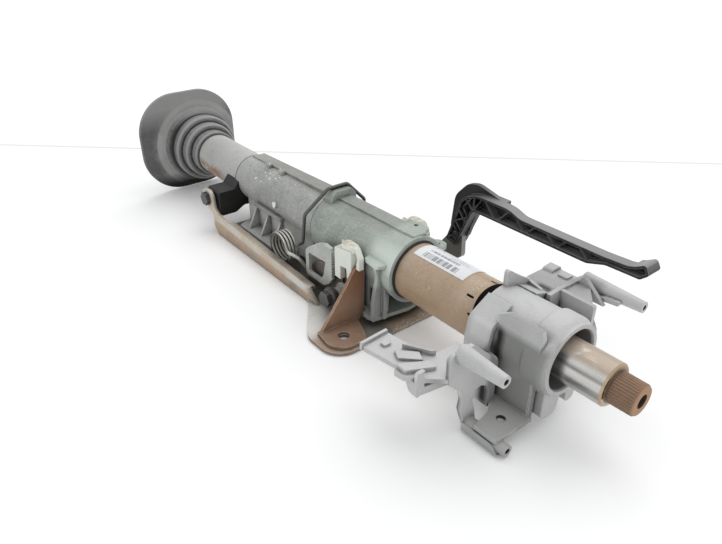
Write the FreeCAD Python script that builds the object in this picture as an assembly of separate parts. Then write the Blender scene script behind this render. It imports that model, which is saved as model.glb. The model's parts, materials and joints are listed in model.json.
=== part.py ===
import FreeCAD, Part
import os
from math import atan2, cos, degrees, hypot, pi, radians, sin, sqrt, tan

V = FreeCAD.Vector
os.makedirs("parts", exist_ok=True)

# The column lies on its mounting bracket. X runs along the column towards the steering wheel,
# Y to the lever side, Z up. The origin is on the mounting face, midway between the two front
# bolt holes. All sizes are in millimetres.

# Column axis
axis_height = 54.0

# Fits
press_gap = 0.02
run_gap = 0.06
slide_gap = 0.3
side_gap = 0.3

# Places along the column
flange_x = -399.0
seam_x = -253.5
step_x = -102.0
mouth_x = 16.0
tube_end_x = 106.0
bore_mouth_x = 172.5
far_boss_x = 180.0
sleeve_end_x = 205.5
spline_end_x = 224.5

# Mounting bracket
sheet = 3.0
channel_half_width = 55.0
channel_rear_x = -254.0
channel_front_x = -68.0
flange_height_rear = 23.0
flange_height_front = 16.5
lip_width = 4.5
wing_half_width = 88.0
wing_front_x = 19.0
wing_rear_x = -21.0
front_hole_spacing = 130.0
front_hole_r = 5.25
rear_hole_spacing = 60.0
rear_hole_x = -225.0
rear_hole_r = 4.5
plate_window_length = 44.0
plate_window_width = 26.0
plate_window_pitch = 62.0
plate_window_x = -180.0
bead_width = 9.0
bead_height = 2.0

# Tilt pivot
pivot_x = -264.0
pivot_z = 38.0
pivot_bolt_r = 5.0
pivot_ear_r = 10.5
pivot_head_flats = 13.0
pivot_head_height = 5.0
pivot_bush_wall = 2.0
yoke_length = 26.0
yoke_drop = 17.0
tilt_down = 0.5
tilt_up = 3.0

# Front ears
ear_sheet = 3.0
ear_inner_y = 31.5
gusset_x = -17.5
ear_wall_rear_x = -100.0
ear_height = 58.0
gusset_margin = 8.0
foot_front_x = 16.0

# Clamp across the ears
clamp_x = -39.0
clamp_z = 19.0
clamp_bolt_r = 4.0
clamp_head_flats = 13.0
clamp_head_height = 6.5
washer_r = 9.0
washer_thickness = 2.0
tooth_plate_y = 38.2
tooth_plate_thickness = 3.4
spacer_end_y = 45.5
tooth_pitch = 2.6
tooth_depth = 1.6
tooth_count = 10
stand_off_r = 4.5
stand_off_x = -55.5
stand_off_z = 38.0

# Bumper blocks on the ears
bumper_length = 23.5
bumper_width = 8.5
bumper_notch_z = 52.0
bumper_top_z = 71.0
near_post_z = 37.6
far_post_z = 42.0
post_width = 8.0

# Outer jacket
jacket_screw_x = -167.0
lower_tube_r = 23.9
lower_tube_wall = 2.5
lower_tube_rear_x = -388.0
spigot_length = 26.0
spigot_wall = 3.0
rear_barrel_r = 24.4
rear_barrel_front_r = 26.3
front_barrel_r = 28.4
mouth_r = 30.2
rail_near_y = -2.0
rail_far_y = 12.0
rail_height_rear = 26.5
rail_height_front = 31.5
web_half_width = 23.5
web_wall = 3.5
web_bottom_z = 14.0
web_rear_x = -228.0
web_front_x = -150.0
ledge_reach = 41.0
clamp_box_rear_x = -92.0
clamp_box_bottom_z = 9.5
buttress_reach = 38.0
box_wall = 3.5

# Inner jacket
inner_tube_r = 25.0
inner_tube_wall = 2.5
inner_tube_rear_x = -76.0
slit_length = 7.0
guide_wall = 0.7
guide_length = 16.0
telescope_in = 4.0
telescope_out = 36.0

# Lock housing
housing_rear_x = 106.5
housing_socket_x = 124.0
housing_flange_thickness = 4.0
housing_barrel_r = 30.0
housing_mouth_r = 27.6
housing_rear_r = 28.4
head_x = 152.0
housing_wall = 3.5
bore_r = 23.7
boss_y = 70.5
boss_rise = 18.0
boss_r = 5.6
boss_tip_r = 4.4
boss_hole_r = 2.1
boss_hole_depth = 14.0
low_boss_y = 58.0
low_boss_drop = 48.4
lower_plate_drop = 45.0
lower_plate_hole_r = 3.4
lower_plate_hole_x = 153.0
lower_plate_hole_y = -43.0
far_wall_y = 35.5
pocket_reach = 36.0
pocket_front_x = 128.0
arm_drop = 2.0
frame_x = 136.5

# Head bearing
bearing_rear_x = 138.0
bearing_width = 13.0
bearing_seat_r = 15.0
inner_race_r = 17.4
outer_race_inner_r = 20.9
ball_r = 2.6
ball_count = 14
snap_ring_width = 1.6

# Shafts
sleeve_r = 16.2
sleeve_rear_x = 152.0
upper_rear_x = -66.0
upper_rear_r = 13.0
upper_neck_r = 11.5
spline_r = 11.84
spline_root_r = 11.1
spline_count = 36
spline_taper = 0.5
wheel_hole_r = 5.1
wheel_hole_depth = 18.0
lower_shaft_r = 8.0
lower_flat = 6.0
lower_shaft_front_x = 10.0
lower_shaft_rear_x = -424.0
lower_journal_r = 10.0
lower_bearing_x = -376.0
lower_bearing_width = 12.0
stub_length = 26.0
stub_r = 8.6
stub_root_r = 7.9
stub_teeth = 24

# Boot
boot_wall = 2.6
boot_half_width = 62.0
boot_half_height = 60.0
boot_centre_y = -11.0
boot_centre_z = 61.5
boot_corner_r = 48.0
boot_flange_thickness = 4.5
boot_dish_r = 47.0
boot_step_r = (27.0, 33.5, 40.0)
boot_step_x = (-345.0, -358.0, -370.0, -383.0)

# Tilt spring
wire_r = 1.7
coil_r = 15.0
coil_x = -133.3
coil_z = 26.7
coil_pitch = 3.6
coil_gap = 0.8
whole_turns = 4
leg_angle = 30.0
arcs_per_turn = 3
arch_x = -97.0
arch_height = 38.6

# Tilt lever
lever_near_y = 60.0
lever_depth = 15.0
beam_depth = 9.5
lever_wall = 2.0
lever_web = 2.0
lever_rib = 1.3
strap_thickness = 5.0
lever_hub_r = 11.0

# Label
label_length = 55.0
label_angle = 62.0
label_thickness = 0.3


def corner(before, here, after, radius):
    # tangent points and the middle of the arc that rounds one corner
    a = V(before[0] - here[0], before[1] - here[1], 0).normalize()
    b = V(after[0] - here[0], after[1] - here[1], 0).normalize()
    half = a.getAngle(b) / 2
    reach = radius / tan(half)
    centre_direction = V(a + b).normalize()
    point = V(here[0], here[1], 0)
    centre = point + centre_direction * (radius / sin(half))
    middle = centre - centre_direction * radius
    return point + a * reach, middle, point + b * reach


def outline(points, place):
    # closed wire through (u, v) points; a third number rounds that corner
    edges = []
    count = len(points)
    ends = []
    for i, here in enumerate(points):
        before = points[i - 1]
        after = points[(i + 1) % count]
        if len(here) > 2 and here[2] > 0:
            start, middle, stop = corner(before, here, after, here[2])
            ends.append((start, stop))
            edges.append(Part.Arc(place(start), place(middle), place(stop)).toShape())
        else:
            point = V(here[0], here[1], 0)
            ends.append((point, point))
    for i in range(count):
        start = ends[i][1]
        stop = ends[(i + 1) % count][0]
        if start.distanceToPoint(stop) > 1e-6:
            edges.append(Part.LineSegment(place(start), place(stop)).toShape())
    return Part.Wire(Part.__sortEdges__(edges))


def prism_x(points, x0, x1):
    # (y, z) outline pushed from x0 to x1
    wire = outline(points, lambda p: V(x0, p.x, p.y))
    return Part.Face(wire).extrude(V(x1 - x0, 0, 0))


def prism_y(points, y0, y1):
    # (x, z) outline pushed from y0 to y1
    wire = outline(points, lambda p: V(p.x, y0, p.y))
    return Part.Face(wire).extrude(V(0, y1 - y0, 0))


def prism_z(points, z0, z1):
    # (x, y) outline pushed from z0 to z1
    wire = outline(points, lambda p: V(p.x, p.y, z0))
    return Part.Face(wire).extrude(V(0, 0, z1 - z0))


def rectangle(u0, v0, u1, v1, radius=0.0):
    return [(u0, v0, radius), (u1, v0, radius), (u1, v1, radius), (u0, v1, radius)]


def rod_x(x0, x1, radius, y=0.0, z=axis_height):
    return Part.makeCylinder(radius, x1 - x0, V(x0, y, z), V(1, 0, 0))


def rod_y(y0, y1, radius, x, z):
    return Part.makeCylinder(radius, y1 - y0, V(x, y0, z), V(0, 1, 0))


def rod_z(z0, z1, radius, x, y):
    return Part.makeCylinder(radius, z1 - z0, V(x, y, z0), V(0, 0, 1))


def turned(profile):
    # (x, radius) outline turned round the column axis
    wire = outline(profile, lambda p: V(p.x, 0, axis_height + p.y))
    return Part.Face(wire).revolve(V(0, 0, axis_height), V(1, 0, 0), 360)


def tube(x0, x1, outer, inner):
    return rod_x(x0, x1, outer).cut(rod_x(x0 - 1, x1 + 1, inner))


def hexagon_y(flats, y0, y1, x, z):
    radius = flats / sqrt(3)
    points = [(x + radius * cos(i * pi / 3), z + radius * sin(i * pi / 3)) for i in range(6)]
    return prism_y(points, y0, y1)


def joined(shapes):
    result = shapes[0].fuse(shapes[1:]) if len(shapes) > 1 else shapes[0]
    return result.removeSplitter()


def mirrored(shape):
    return shape.mirror(V(0, 0, 0), V(0, 1, 0))


def both_sides(shape):
    return Part.makeCompound([shape, mirrored(shape)])


def single(shape):
    # the one solid of a shape
    solids = shape.Solids
    return solids[0] if len(solids) == 1 else shape


def save(name, shape):
    single(shape).exportStep("parts/" + name + ".step")


def arc_slot(radius, half_width, low_angle, high_angle, y0, y1):
    # slot that follows a circle round the tilt pivot, with round ends
    def at(r, angle):
        return V(pivot_x + r * cos(radians(angle)), y0, pivot_z + r * sin(radians(angle)))

    inner = radius - half_width
    outer = radius + half_width
    middle = (low_angle + high_angle) / 2
    cap = degrees(half_width / radius)
    edges = [
        Part.Arc(at(outer, low_angle), at(outer, middle), at(outer, high_angle)).toShape(),
        Part.Arc(at(outer, high_angle), at(radius, high_angle + cap), at(inner, high_angle)).toShape(),
        Part.Arc(at(inner, high_angle), at(inner, middle), at(inner, low_angle)).toShape(),
        Part.Arc(at(inner, low_angle), at(radius, low_angle - cap), at(outer, low_angle)).toShape(),
    ]
    return Part.Face(Part.Wire(edges)).extrude(V(0, y1 - y0, 0))


def round_path(points, radii):
    # straight runs joined by tangent arcs, through points in space
    edges = []
    last = points[0]
    for i in range(1, len(points) - 1):
        here = points[i]
        a = (points[i - 1] - here).normalize()
        b = (points[i + 1] - here).normalize()
        half = a.getAngle(b) / 2
        reach = radii[i - 1] / tan(half)
        middle_direction = (a + b).normalize()
        centre = here + middle_direction * (radii[i - 1] / sin(half))
        start = here + a * reach
        stop = here + b * reach
        edges.append(Part.LineSegment(last, start).toShape())
        edges.append(Part.Arc(start, centre - middle_direction * radii[i - 1], stop).toShape())
        last = stop
    edges.append(Part.LineSegment(last, points[-1]).toShape())
    return Part.Wire(edges)


def wire_rod(path, start, direction):
    ring = Part.Wire(Part.Circle(start, direction, wire_r).toShape())
    return path.makePipeShell([ring], True, False)


# Mounting bracket

clamp_reach = hypot(clamp_x - pivot_x, clamp_z - pivot_z)
clamp_angle = degrees(atan2(clamp_z - pivot_z, clamp_x - pivot_x))
flange_inner = channel_half_width - sheet
hole_y = front_hole_spacing / 2


def channel_flange():
    ear_front = pivot_x + pivot_ear_r
    points = [
        (channel_rear_x + 8, 0),
        (channel_rear_x, 8, 6),
        (channel_rear_x + 1, pivot_z - 15, 6),
        (pivot_x - pivot_ear_r, pivot_z - 8, 7),
        (pivot_x - pivot_ear_r, pivot_z + pivot_ear_r, pivot_ear_r * 0.9),
        (ear_front, pivot_z + pivot_ear_r, pivot_ear_r * 0.9),
        (ear_front + 5, flange_height_rear + 3, 10),
        (ear_front + 32, flange_height_rear, 20),
        (channel_front_x, flange_height_front, 4),
        (channel_front_x + 14, sheet),
        (channel_front_x + 14, 0),
    ]
    wall = prism_y(points, -channel_half_width, -flange_inner)
    lip = [
        (ear_front + 34, flange_height_rear),
        (channel_front_x, flange_height_front),
        (channel_front_x, flange_height_front - sheet),
        (ear_front + 34, flange_height_rear - sheet),
    ]
    return joined([wall, prism_y(lip, -flange_inner - 0.5, -flange_inner + lip_width)])


def base_channel():
    half = [
        (channel_rear_x, 0),
        (channel_rear_x, -channel_half_width, 9),
        (channel_front_x, -channel_half_width, 14),
        (wing_rear_x, -wing_half_width, 20),
        (wing_front_x, -wing_half_width, 20),
        (wing_front_x, 0),
    ]
    plate = prism_z(half, 0, sheet)
    plate = joined([plate, mirrored(plate)])
    flange = channel_flange()
    body = joined([plate, flange, mirrored(flange)])
    bead = prism_x([(-bead_width, sheet), (-bead_width + 3, sheet + bead_height),
                    (bead_width - 3, sheet + bead_height), (bead_width, sheet)],
                   channel_rear_x + 30, channel_front_x - 30)
    cuts = []
    for side in (-1, 1):
        cuts.append(rod_z(-1, sheet + 1, front_hole_r, 0, side * hole_y))
        cuts.append(rod_z(-1, sheet + 1, rear_hole_r, rear_hole_x, side * rear_hole_spacing / 2))
        y0 = side * (channel_half_width + 1)
        y1 = side * (flange_inner - 1)
        cuts.append(rod_y(min(y0, y1), max(y0, y1), pivot_bolt_r + run_gap, pivot_x, pivot_z))
    for i in range(2):
        x = plate_window_x + i * plate_window_pitch
        window = rectangle(x - plate_window_length / 2, -plate_window_width / 2,
                           x + plate_window_length / 2, plate_window_width / 2, 8)
        cuts.append(prism_z(window, -1, sheet + 1))
    return body.cut(cuts)


gusset_reach = wing_half_width - gusset_margin
gusset_width = gusset_reach - ear_inner_y


def left_ear():
    wall = [
        (ear_wall_rear_x, sheet),
        (ear_wall_rear_x + 2, 14, 8),
        (ear_wall_rear_x + 16, 32, 12),
        (ear_wall_rear_x + 34, 34, 8),
        (ear_wall_rear_x + 46, 50, 12),
        (gusset_x - 20, ear_height - 2, 20),
        (gusset_x + ear_sheet, ear_height),
        (gusset_x + ear_sheet, sheet),
    ]
    outer = -ear_inner_y - ear_sheet
    side = prism_y(wall, outer, -ear_inner_y)
    slot = arc_slot(clamp_reach, clamp_bolt_r + slide_gap, clamp_angle - tilt_down,
                    clamp_angle + tilt_up, outer - 1, -ear_inner_y + 1)
    gusset = [
        (-ear_inner_y, sheet),
        (-ear_inner_y, ear_height),
        (-ear_inner_y - 0.19 * gusset_width, ear_height - 1, 4),
        (-ear_inner_y - 0.38 * gusset_width, 0.74 * ear_height, 0.6 * gusset_width),
        (-ear_inner_y - 0.71 * gusset_width, 0.36 * ear_height, 0.6 * gusset_width),
        (-gusset_reach, sheet),
    ]
    triangle = prism_x(gusset, gusset_x, gusset_x + ear_sheet)
    foot = [
        (gusset_x, -gusset_reach),
        (0, -gusset_reach - 3, 16),
        (foot_front_x, -gusset_reach + 1, 16),
        (foot_front_x, -hole_y + 13, 10),
        (gusset_x + ear_sheet, -ear_inner_y - 8, 8),
        (gusset_x + ear_sheet, -ear_inner_y),
        (gusset_x, -ear_inner_y),
    ]
    tab = prism_z(foot, sheet, sheet + ear_sheet)
    body = joined([side, triangle, tab])
    return body.cut([slot, rod_z(sheet - 1, 2 * sheet + 1, front_hole_r, 0, -hole_y)])


def pivot_bolt():
    # shouldered bolt through one ear of the channel into the yoke
    head = hexagon_y(pivot_head_flats, -channel_half_width - pivot_head_height,
                     -channel_half_width, pivot_x, pivot_z)
    shank = rod_y(-channel_half_width - 0.5, -yoke_inner + 1.0, pivot_bolt_r, pivot_x, pivot_z)
    return joined([head, shank])


yoke_outer = flange_inner - pivot_bush_wall - side_gap
yoke_inner = lower_tube_r + 9.0


def pivot_bush():
    outer = -flange_inner + press_gap
    washer = rod_y(-flange_inner, -flange_inner + pivot_bush_wall, pivot_bolt_r + 4, pivot_x, pivot_z)
    return washer.cut(rod_y(outer - 2, outer + 5, pivot_bolt_r + run_gap, pivot_x, pivot_z))


# Outer jacket

def lower_tube():
    body = tube(lower_tube_rear_x, seam_x - 0.8, lower_tube_r, lower_tube_r - lower_tube_wall)
    return body


def pivot_yoke():
    # saddle under the lower tube with an arm out to each pivot bolt
    low = pivot_z - yoke_drop
    high = pivot_z + pivot_ear_r
    arm = [
        (0, axis_height - lower_tube_r - 5),
        (-20, axis_height - lower_tube_r - 3, 8),
        (-yoke_inner + 2, low, 5),
        (-yoke_outer, low, 3),
        (-yoke_outer, high, 3),
        (-yoke_inner + 2, high, 3),
        (-lower_tube_r, axis_height + 3),
        (0, axis_height + 3),
    ]
    rear = pivot_x - pivot_ear_r + 3
    front = rear + yoke_length
    half = prism_x(arm, rear, front)
    body = joined([half, mirrored(half)])
    cuts = [rod_x(rear - 1, max(front, seam_x) + 1, lower_tube_r + press_gap),
            rod_x(seam_x - 0.5, max(front, seam_x) + 1, rear_barrel_r + side_gap)]
    for y0 in (-yoke_outer - 1, yoke_inner - 3):
        cuts.append(rod_y(y0, y0 + yoke_outer - yoke_inner + 4, pivot_bolt_r + run_gap, pivot_x, pivot_z))
    return body.cut(cuts)


guide_r = inner_tube_r + run_gap + guide_wall
jacket_bore_r = guide_r + press_gap
rear_bore_r = lower_tube_r - lower_tube_wall - spigot_wall - press_gap
spigot_r = lower_tube_r - lower_tube_wall - press_gap


def barrel_solid():
    profile = [
        (seam_x - spigot_length, 0),
        (seam_x - spigot_length, spigot_r),
        (seam_x, spigot_r),
        (seam_x, rear_barrel_r),
        (step_x, rear_barrel_front_r),
        (step_x, front_barrel_r - 0.6),
        (step_x + 3, front_barrel_r),
        (mouth_x - 12, mouth_r - 0.6),
        (mouth_x, mouth_r),
        (mouth_x, 0),
    ]
    return turned(profile)


def barrel_bore():
    profile = [
        (seam_x - spigot_length - 1, 0),
        (seam_x - spigot_length - 1, rear_bore_r),
        (step_x - 6, rear_bore_r),
        (step_x + 2, jacket_bore_r),
        (mouth_x + 1, jacket_bore_r),
        (mouth_x + 1, 0),
    ]
    return turned(profile)


def jacket_rail():
    side = [
        (seam_x + 3, axis_height + 15),
        (seam_x + 3, axis_height + rail_height_rear - 1, 3),
        (step_x - 8, axis_height + rail_height_rear + 3),
        (step_x - 2, axis_height + rail_height_front - 1.5),
        (mouth_x - 2, axis_height + rail_height_front, 2),
        (mouth_x - 2, axis_height + 15),
    ]
    return prism_y(side, rail_near_y, rail_far_y)


def spring_saddle():
    # block that the arch of the tilt spring bears on
    top = axis_height + arch_height - wire_r - side_gap
    block = prism_x([(-11, axis_height + 16), (-10, top - 4, 5), (-4, top, 3),
                     (13, top, 3), (18, top - 6, 5), (18, axis_height + 12)],
                    arch_x - 6, arch_x + 8)
    return block


def jacket_web():
    low = web_bottom_z
    wall = prism_y([(web_rear_x, low), (web_rear_x, axis_height - 6), (clamp_box_rear_x + 6, axis_height - 6),
                    (clamp_box_rear_x + 6, low)], -web_half_width, -web_half_width + web_wall)
    ledge = prism_z([(web_rear_x, -web_half_width), (web_rear_x + 8, -ledge_reach, 3),
                     (web_front_x, -ledge_reach, 3), (web_front_x, -web_half_width + 1),
                     (web_rear_x, -web_half_width + 1)], low, low + web_wall)
    rib_x = [web_rear_x + 20 + i * 24 for i in range(3)]
    ribs = [prism_x([(-web_half_width + 1, low), (-ledge_reach + 4, low + web_wall),
                     (-web_half_width - 1.5, axis_height - 12), (-web_half_width + 1, axis_height - 12)],
                    x, x + 2.5) for x in rib_x]
    upper = prism_y([(web_rear_x + 20, axis_height - 12), (web_rear_x + 20, axis_height - 9),
                     (coil_x - 22, axis_height - 9), (coil_x - 22, axis_height - 12)],
                    -web_half_width - 5, -web_half_width + 1)
    return joined([wall, ledge, upper] + ribs)


def clamp_box():
    half = ear_inner_y - side_gap
    rear = clamp_box_rear_x
    front = gusset_x + ear_sheet
    low = clamp_box_bottom_z
    pad = prism_y([(rear + 18, low), (rear + 14, axis_height - 8, 8), (front - 8, axis_height - 8, 6),
                   (front - 8, low)], -half, -half + box_wall + 3)
    inner = prism_y([(rear, low + 1), (rear, axis_height - 9), (mouth_x - 8, axis_height - 9),
                     (mouth_x - 8, low + 1)], -half + box_wall, -half + 2 * box_wall)
    floor = prism_z([(rear + 15, 0), (rear + 15, -half, 4), (front + 3, -half, 2),
                     (front + 6, -buttress_reach, 3), (mouth_x - 12, -buttress_reach, 8),
                     (mouth_x - 6, 0)], low, low + box_wall)
    return joined([pad, inner, floor])


def buttress():
    # rib that stands beside the mouth, from the floor plate up to the ledge
    face = [
        (-20, clamp_box_bottom_z),
        (-buttress_reach, clamp_box_bottom_z, 2),
        (-buttress_reach + 2, 34, 12),
        (-ear_inner_y - 1, axis_height - 2, 10),
        (-ear_inner_y - 4, axis_height + 11, 2),
        (-18, axis_height + 11),
    ]
    rib = prism_x(face, mouth_x - 15, mouth_x - 11.5)
    ledge = prism_z([(mouth_x - 30, -26), (mouth_x - 27, -ear_inner_y - 3, 4),
                     (mouth_x - 9, -ear_inner_y - 5, 4), (mouth_x - 4, -24)],
                    axis_height + 8.5, axis_height + 11.5)
    return joined([rib, ledge])


def jacket_lug():
    # lug on the lever side of the mouth
    lug = prism_z([(mouth_x - 24, 24), (mouth_x - 22, 47, 6), (mouth_x - 8, 47, 6), (mouth_x - 6, 24)],
                  axis_height + 2, axis_height + 6)
    return lug.cut(rod_z(axis_height, axis_height + 8, 2.2, mouth_x - 15, 40))


def mouth_tab():
    top = axis_height + rail_height_front - 1
    tab = prism_z([(mouth_x - 31, 4), (mouth_x - 29, 19, 3), (mouth_x - 7, 21, 3), (mouth_x - 3, 4)],
                  top - 3, top)
    return tab.cut(rod_z(top - 5, top + 2, 2.0, mouth_x - 18, 15))


def jacket_casting():
    web = jacket_web()
    box = clamp_box()
    rib = buttress()
    solid = joined([barrel_solid(), jacket_rail(), spring_saddle(), web, mirrored(web), box, mirrored(box),
                    rib, mirrored(rib), jacket_lug(), mouth_tab(), seam_posts()])
    half = ear_inner_y + 2
    cuts = [barrel_bore(), rod_y(-half, half, clamp_bolt_r + slide_gap, clamp_x, clamp_z)]
    return solid.cut(cuts)


def seam_posts():
    posts = [prism_z(rectangle(x, -7.5, x + 6.5, -1.5, 1), axis_height + 18, axis_height + 29)
             for x in (seam_x + 40, seam_x + 66)]
    return joined(posts)


def jacket_screws():
    # a screw head on each side of the rear barrel
    heads = []
    for angle in (5, 175):
        direction = V(0, -cos(radians(angle)), sin(radians(angle)))
        start = V(jacket_screw_x, 0, axis_height) + direction * 24.5
        heads.append(Part.makeCylinder(3.2, 3.4, start, direction))
    barrel = barrel_solid()
    return Part.makeCompound([h.cut(barrel) for h in heads])


def guide_bushes():
    places = (inner_tube_rear_x + telescope_out + 4, mouth_x - guide_length - 2)
    rings = [tube(x, x + guide_length, guide_r, inner_tube_r + run_gap) for x in places]
    return Part.makeCompound(rings)


def mouth_seal():
    inner = inner_tube_r + slide_gap
    outer = inner_tube_r + 1.6
    profile = [(mouth_x, inner), (mouth_x, outer), (mouth_x + 1.2, outer - 0.3), (mouth_x + 1.8, inner)]
    return turned(profile)


# Clamp across the ears

ear_outer_y = ear_inner_y + ear_sheet
head_y = spacer_end_y + 3 * washer_thickness


def clamp_bolt():
    head = hexagon_y(clamp_head_flats, -head_y - clamp_head_height, -head_y, clamp_x, clamp_z)
    washer_face = rod_y(-head_y - 0.6, -head_y, clamp_head_flats / 2 + 1.5, clamp_x, clamp_z)
    tail = lever_near_y + lever_depth + 4
    return joined([head, washer_face, rod_y(-head_y - 1, tail, clamp_bolt_r, clamp_x, clamp_z)])


def clamp_washers():
    rings = []
    inner = clamp_bolt_r + press_gap
    for i in range(3):
        start = -head_y + i * washer_thickness
        radius = washer_r - 0.8 * i
        ring = rod_y(start, start + washer_thickness - 0.05, radius, clamp_x, clamp_z)
        rings.append(ring.cut(rod_y(start - 1, start + 3, inner, clamp_x, clamp_z)))
    return Part.makeCompound(rings)


def clamp_spacer():
    # tube on the bolt between the ear and the washers
    start = -spacer_end_y + 0.05
    stop = -ear_outer_y - side_gap
    body = rod_y(start, stop, clamp_bolt_r + 2.4, clamp_x, clamp_z)
    collar = rod_y(stop - 2.5, stop, washer_r, clamp_x, clamp_z)
    return joined([body, collar]).cut(rod_y(start - 1, stop + 1, clamp_bolt_r + press_gap, clamp_x, clamp_z))


def tooth_plate():
    # open plate with a toothed front edge, on a stand-off from the ear
    edge_x = clamp_x - clamp_bolt_r - 5.0
    base_z = clamp_z + washer_r + 2.0
    points = [(edge_x - 42, 17, 3), (edge_x - 42, 42.5, 3), (edge_x - 37.6, 47, 3), (edge_x - 21.5, 57.5, 4),
              (edge_x - 11.5, 61, 3), (edge_x - 2, 60)]
    for i in range(tooth_count):
        z = base_z + (tooth_count - i) * tooth_pitch
        points.append((edge_x, z))
        points.append((edge_x - tooth_depth, z - tooth_pitch / 2))
    points += [(edge_x, base_z), (edge_x - 6, base_z - 8, 4), (edge_x - 14, 17, 4)]
    outer = -tooth_plate_y - tooth_plate_thickness
    plate = prism_y(points, outer, -tooth_plate_y)
    window = prism_y([(edge_x - 37.5, 21, 2), (edge_x - 37, 41.5, 2), (edge_x - 10, 43, 1),
                      (edge_x - 14, 27, 5), (edge_x - 19, 21, 3)], outer - 1, -tooth_plate_y + 1)
    pin = rod_y(-tooth_plate_y - 1, -ear_outer_y, stand_off_r, stand_off_x, stand_off_z)
    return joined([plate.cut(window), pin])


def bumper(post_bottom):
    # block with a post and a leg, a rounded pad on top and a clip over the gusset
    x1 = gusset_x - 0.5
    x0 = x1 - bumper_length
    inner = -ear_outer_y - 0.05
    outer = inner - bumper_width
    top = bumper_top_z
    block = prism_y([(x0, post_bottom), (x0, top - 4, 1.5), (x1, top, 1.5), (x1, bumper_notch_z - 9),
                     (x1 - 6, bumper_notch_z - 9), (x1 - 7, bumper_notch_z, 1),
                     (x0 + post_width, bumper_notch_z - 1, 1), (x0 + post_width, post_bottom)],
                    outer, inner - 3.2)
    back = prism_y([(x0, bumper_notch_z), (x0, top - 4, 1.5), (x1, top, 1.5), (x1, bumper_notch_z)],
                   inner - 3.5, inner)
    cover = prism_x([(inner - 1, ear_height + 0.6), (-ear_inner_y, ear_height + 0.6),
                     (-ear_inner_y, top - 3, 2), (inner - 1, top + 1)], x0 + 1, x1)
    pad = prism_z([(x0 + 8, outer + 0.5, 3), (x1 + 2, outer + 0.5, 4.4), (x1 + 2, inner + 1, 4.4),
                   (x0 + 8, inner + 1, 3)], top - 2, top + 3)
    front = gusset_x + ear_sheet + 0.3
    clip = prism_y([(x1 - 1, top + 0.5), (x1 - 1, top + 3), (front - 1, top + 3, 2), (front + 4, top - 5, 3),
                    (front + 4, ear_height - 3), (front, ear_height - 3), (front, ear_height + 1, 1),
                    (front + 1.5, top - 5, 2), (front - 2, top + 0.5, 1)], inner - 6, inner - 1)
    return joined([block, back, cover, pad, clip])


# Tilt spring

coil_last_y = flange_inner - lip_width - wire_r - coil_gap
coil_turns = whole_turns - leg_angle / 360
coil_first_y = coil_last_y - coil_pitch * coil_turns


def coil_point(turns):
    # point of the near coil, counted in turns from its inner end
    angle = 2 * pi * turns
    return V(coil_x + coil_r * cos(angle), -coil_first_y - coil_pitch * turns, coil_z - coil_r * sin(angle))


def coil_wire():
    edges = []
    arcs = int(whole_turns * arcs_per_turn)
    step = coil_turns / arcs
    for i in range(arcs):
        start = coil_point(i * step)
        stop = coil_point((i + 1) * step)
        edges.append(Part.Arc(start, coil_point((i + 0.5) * step), stop).toShape())
    path = Part.Wire(edges)
    first = path.Edges[0]
    ring = Part.Wire(Part.Circle(coil_point(0), first.tangentAt(first.FirstParameter), wire_r).toShape())
    return path.makePipeShell([ring], True, False, 0)


def spring_leg():
    # from the outer end of the coil down to its hook behind the ear
    start = coil_point(coil_turns)
    angle = radians(leg_angle)
    direction = V(sin(angle), 0, -cos(angle))
    bend = start + direction * 6
    hook_x = ear_wall_rear_x - wire_r - side_gap
    middle = V(hook_x - 3, (bend.y - ear_inner_y) / 2 - 1.5, coil_z - 1)
    points = [start, bend, middle, V(hook_x, -ear_inner_y - 1, 12), V(hook_x, -ear_inner_y + 5, 9)]
    return wire_rod(round_path(points, [4.0, 5.0, 3.0]), start, direction)


def spring_arch():
    # from the inner end of one coil over the jacket to the other
    start = V(coil_x + coil_r, -coil_first_y, coil_z)
    stop = mirrored_point(start)
    low = V(arch_x - 4, -37, 44)
    knee = V(arch_x, -36, axis_height + 20)
    top_z = axis_height + arch_height
    shoulder = V(arch_x, -9, top_z)
    far_shoulder = V(arch_x, 13, top_z)
    far_knee = V(arch_x, 34, axis_height + 17)
    points = [start, start + V(1, -3, 6), low, knee, shoulder, far_shoulder, far_knee, mirrored_point(low),
              stop + V(1, 3, 6), stop]
    return wire_rod(round_path(points, [2.5, 4, 5, 6, 6, 5, 4, 2.5]), start, V(1, -3, 6))


def mirrored_point(point):
    return V(point.x, -point.y, point.z)


def tilt_spring():
    leg = spring_leg()
    coil = coil_wire()
    return Part.makeCompound([coil, mirrored(coil), leg, mirrored(leg), spring_arch()])


# Boot

def boot_outside():
    # stepped bellows from the tube collar out to the dish, as (x, radius)
    x0, x1, x2, x3 = boot_step_x
    r0, r1, r2 = boot_step_r
    return [(x0, 0), (x0, r0, 1), (x1, r0, 1.5), (x1, r1, 3), (x2, r1, 1.5), (x2, r2, 3), (x3, r2, 1.5),
            (flange_x + boot_flange_thickness, boot_dish_r), (flange_x, boot_dish_r), (flange_x, 0)]


def boot_inside():
    # the same steps, one wall thickness further in
    x0, x1, x2, x3 = [x - boot_wall for x in boot_step_x]
    r0, r1, r2 = [r - boot_wall for r in boot_step_r]
    dish_r = boot_dish_r - boot_wall
    return [(x0, 0), (x0, r0), (x1, r0), (x1, r1), (x2, r1), (x2, r2), (x3, r2),
            (flange_x + boot_flange_thickness - boot_wall, dish_r), (flange_x - 1, dish_r), (flange_x - 1, 0)]


def boot():
    y, z = boot_centre_y, boot_centre_z
    rim = rectangle(y - boot_half_width, z - boot_half_height, y + boot_half_width, z + boot_half_height,
                    boot_corner_r)
    plate = prism_x(rim, flange_x, flange_x + boot_flange_thickness)
    outer = joined([plate, turned(boot_outside())])
    collar_cut = rod_x(boot_step_x[0] - 6, boot_step_x[0] + 2, lower_tube_r + press_gap)
    return outer.cut([turned(boot_inside()), collar_cut])


# Inner jacket

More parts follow.
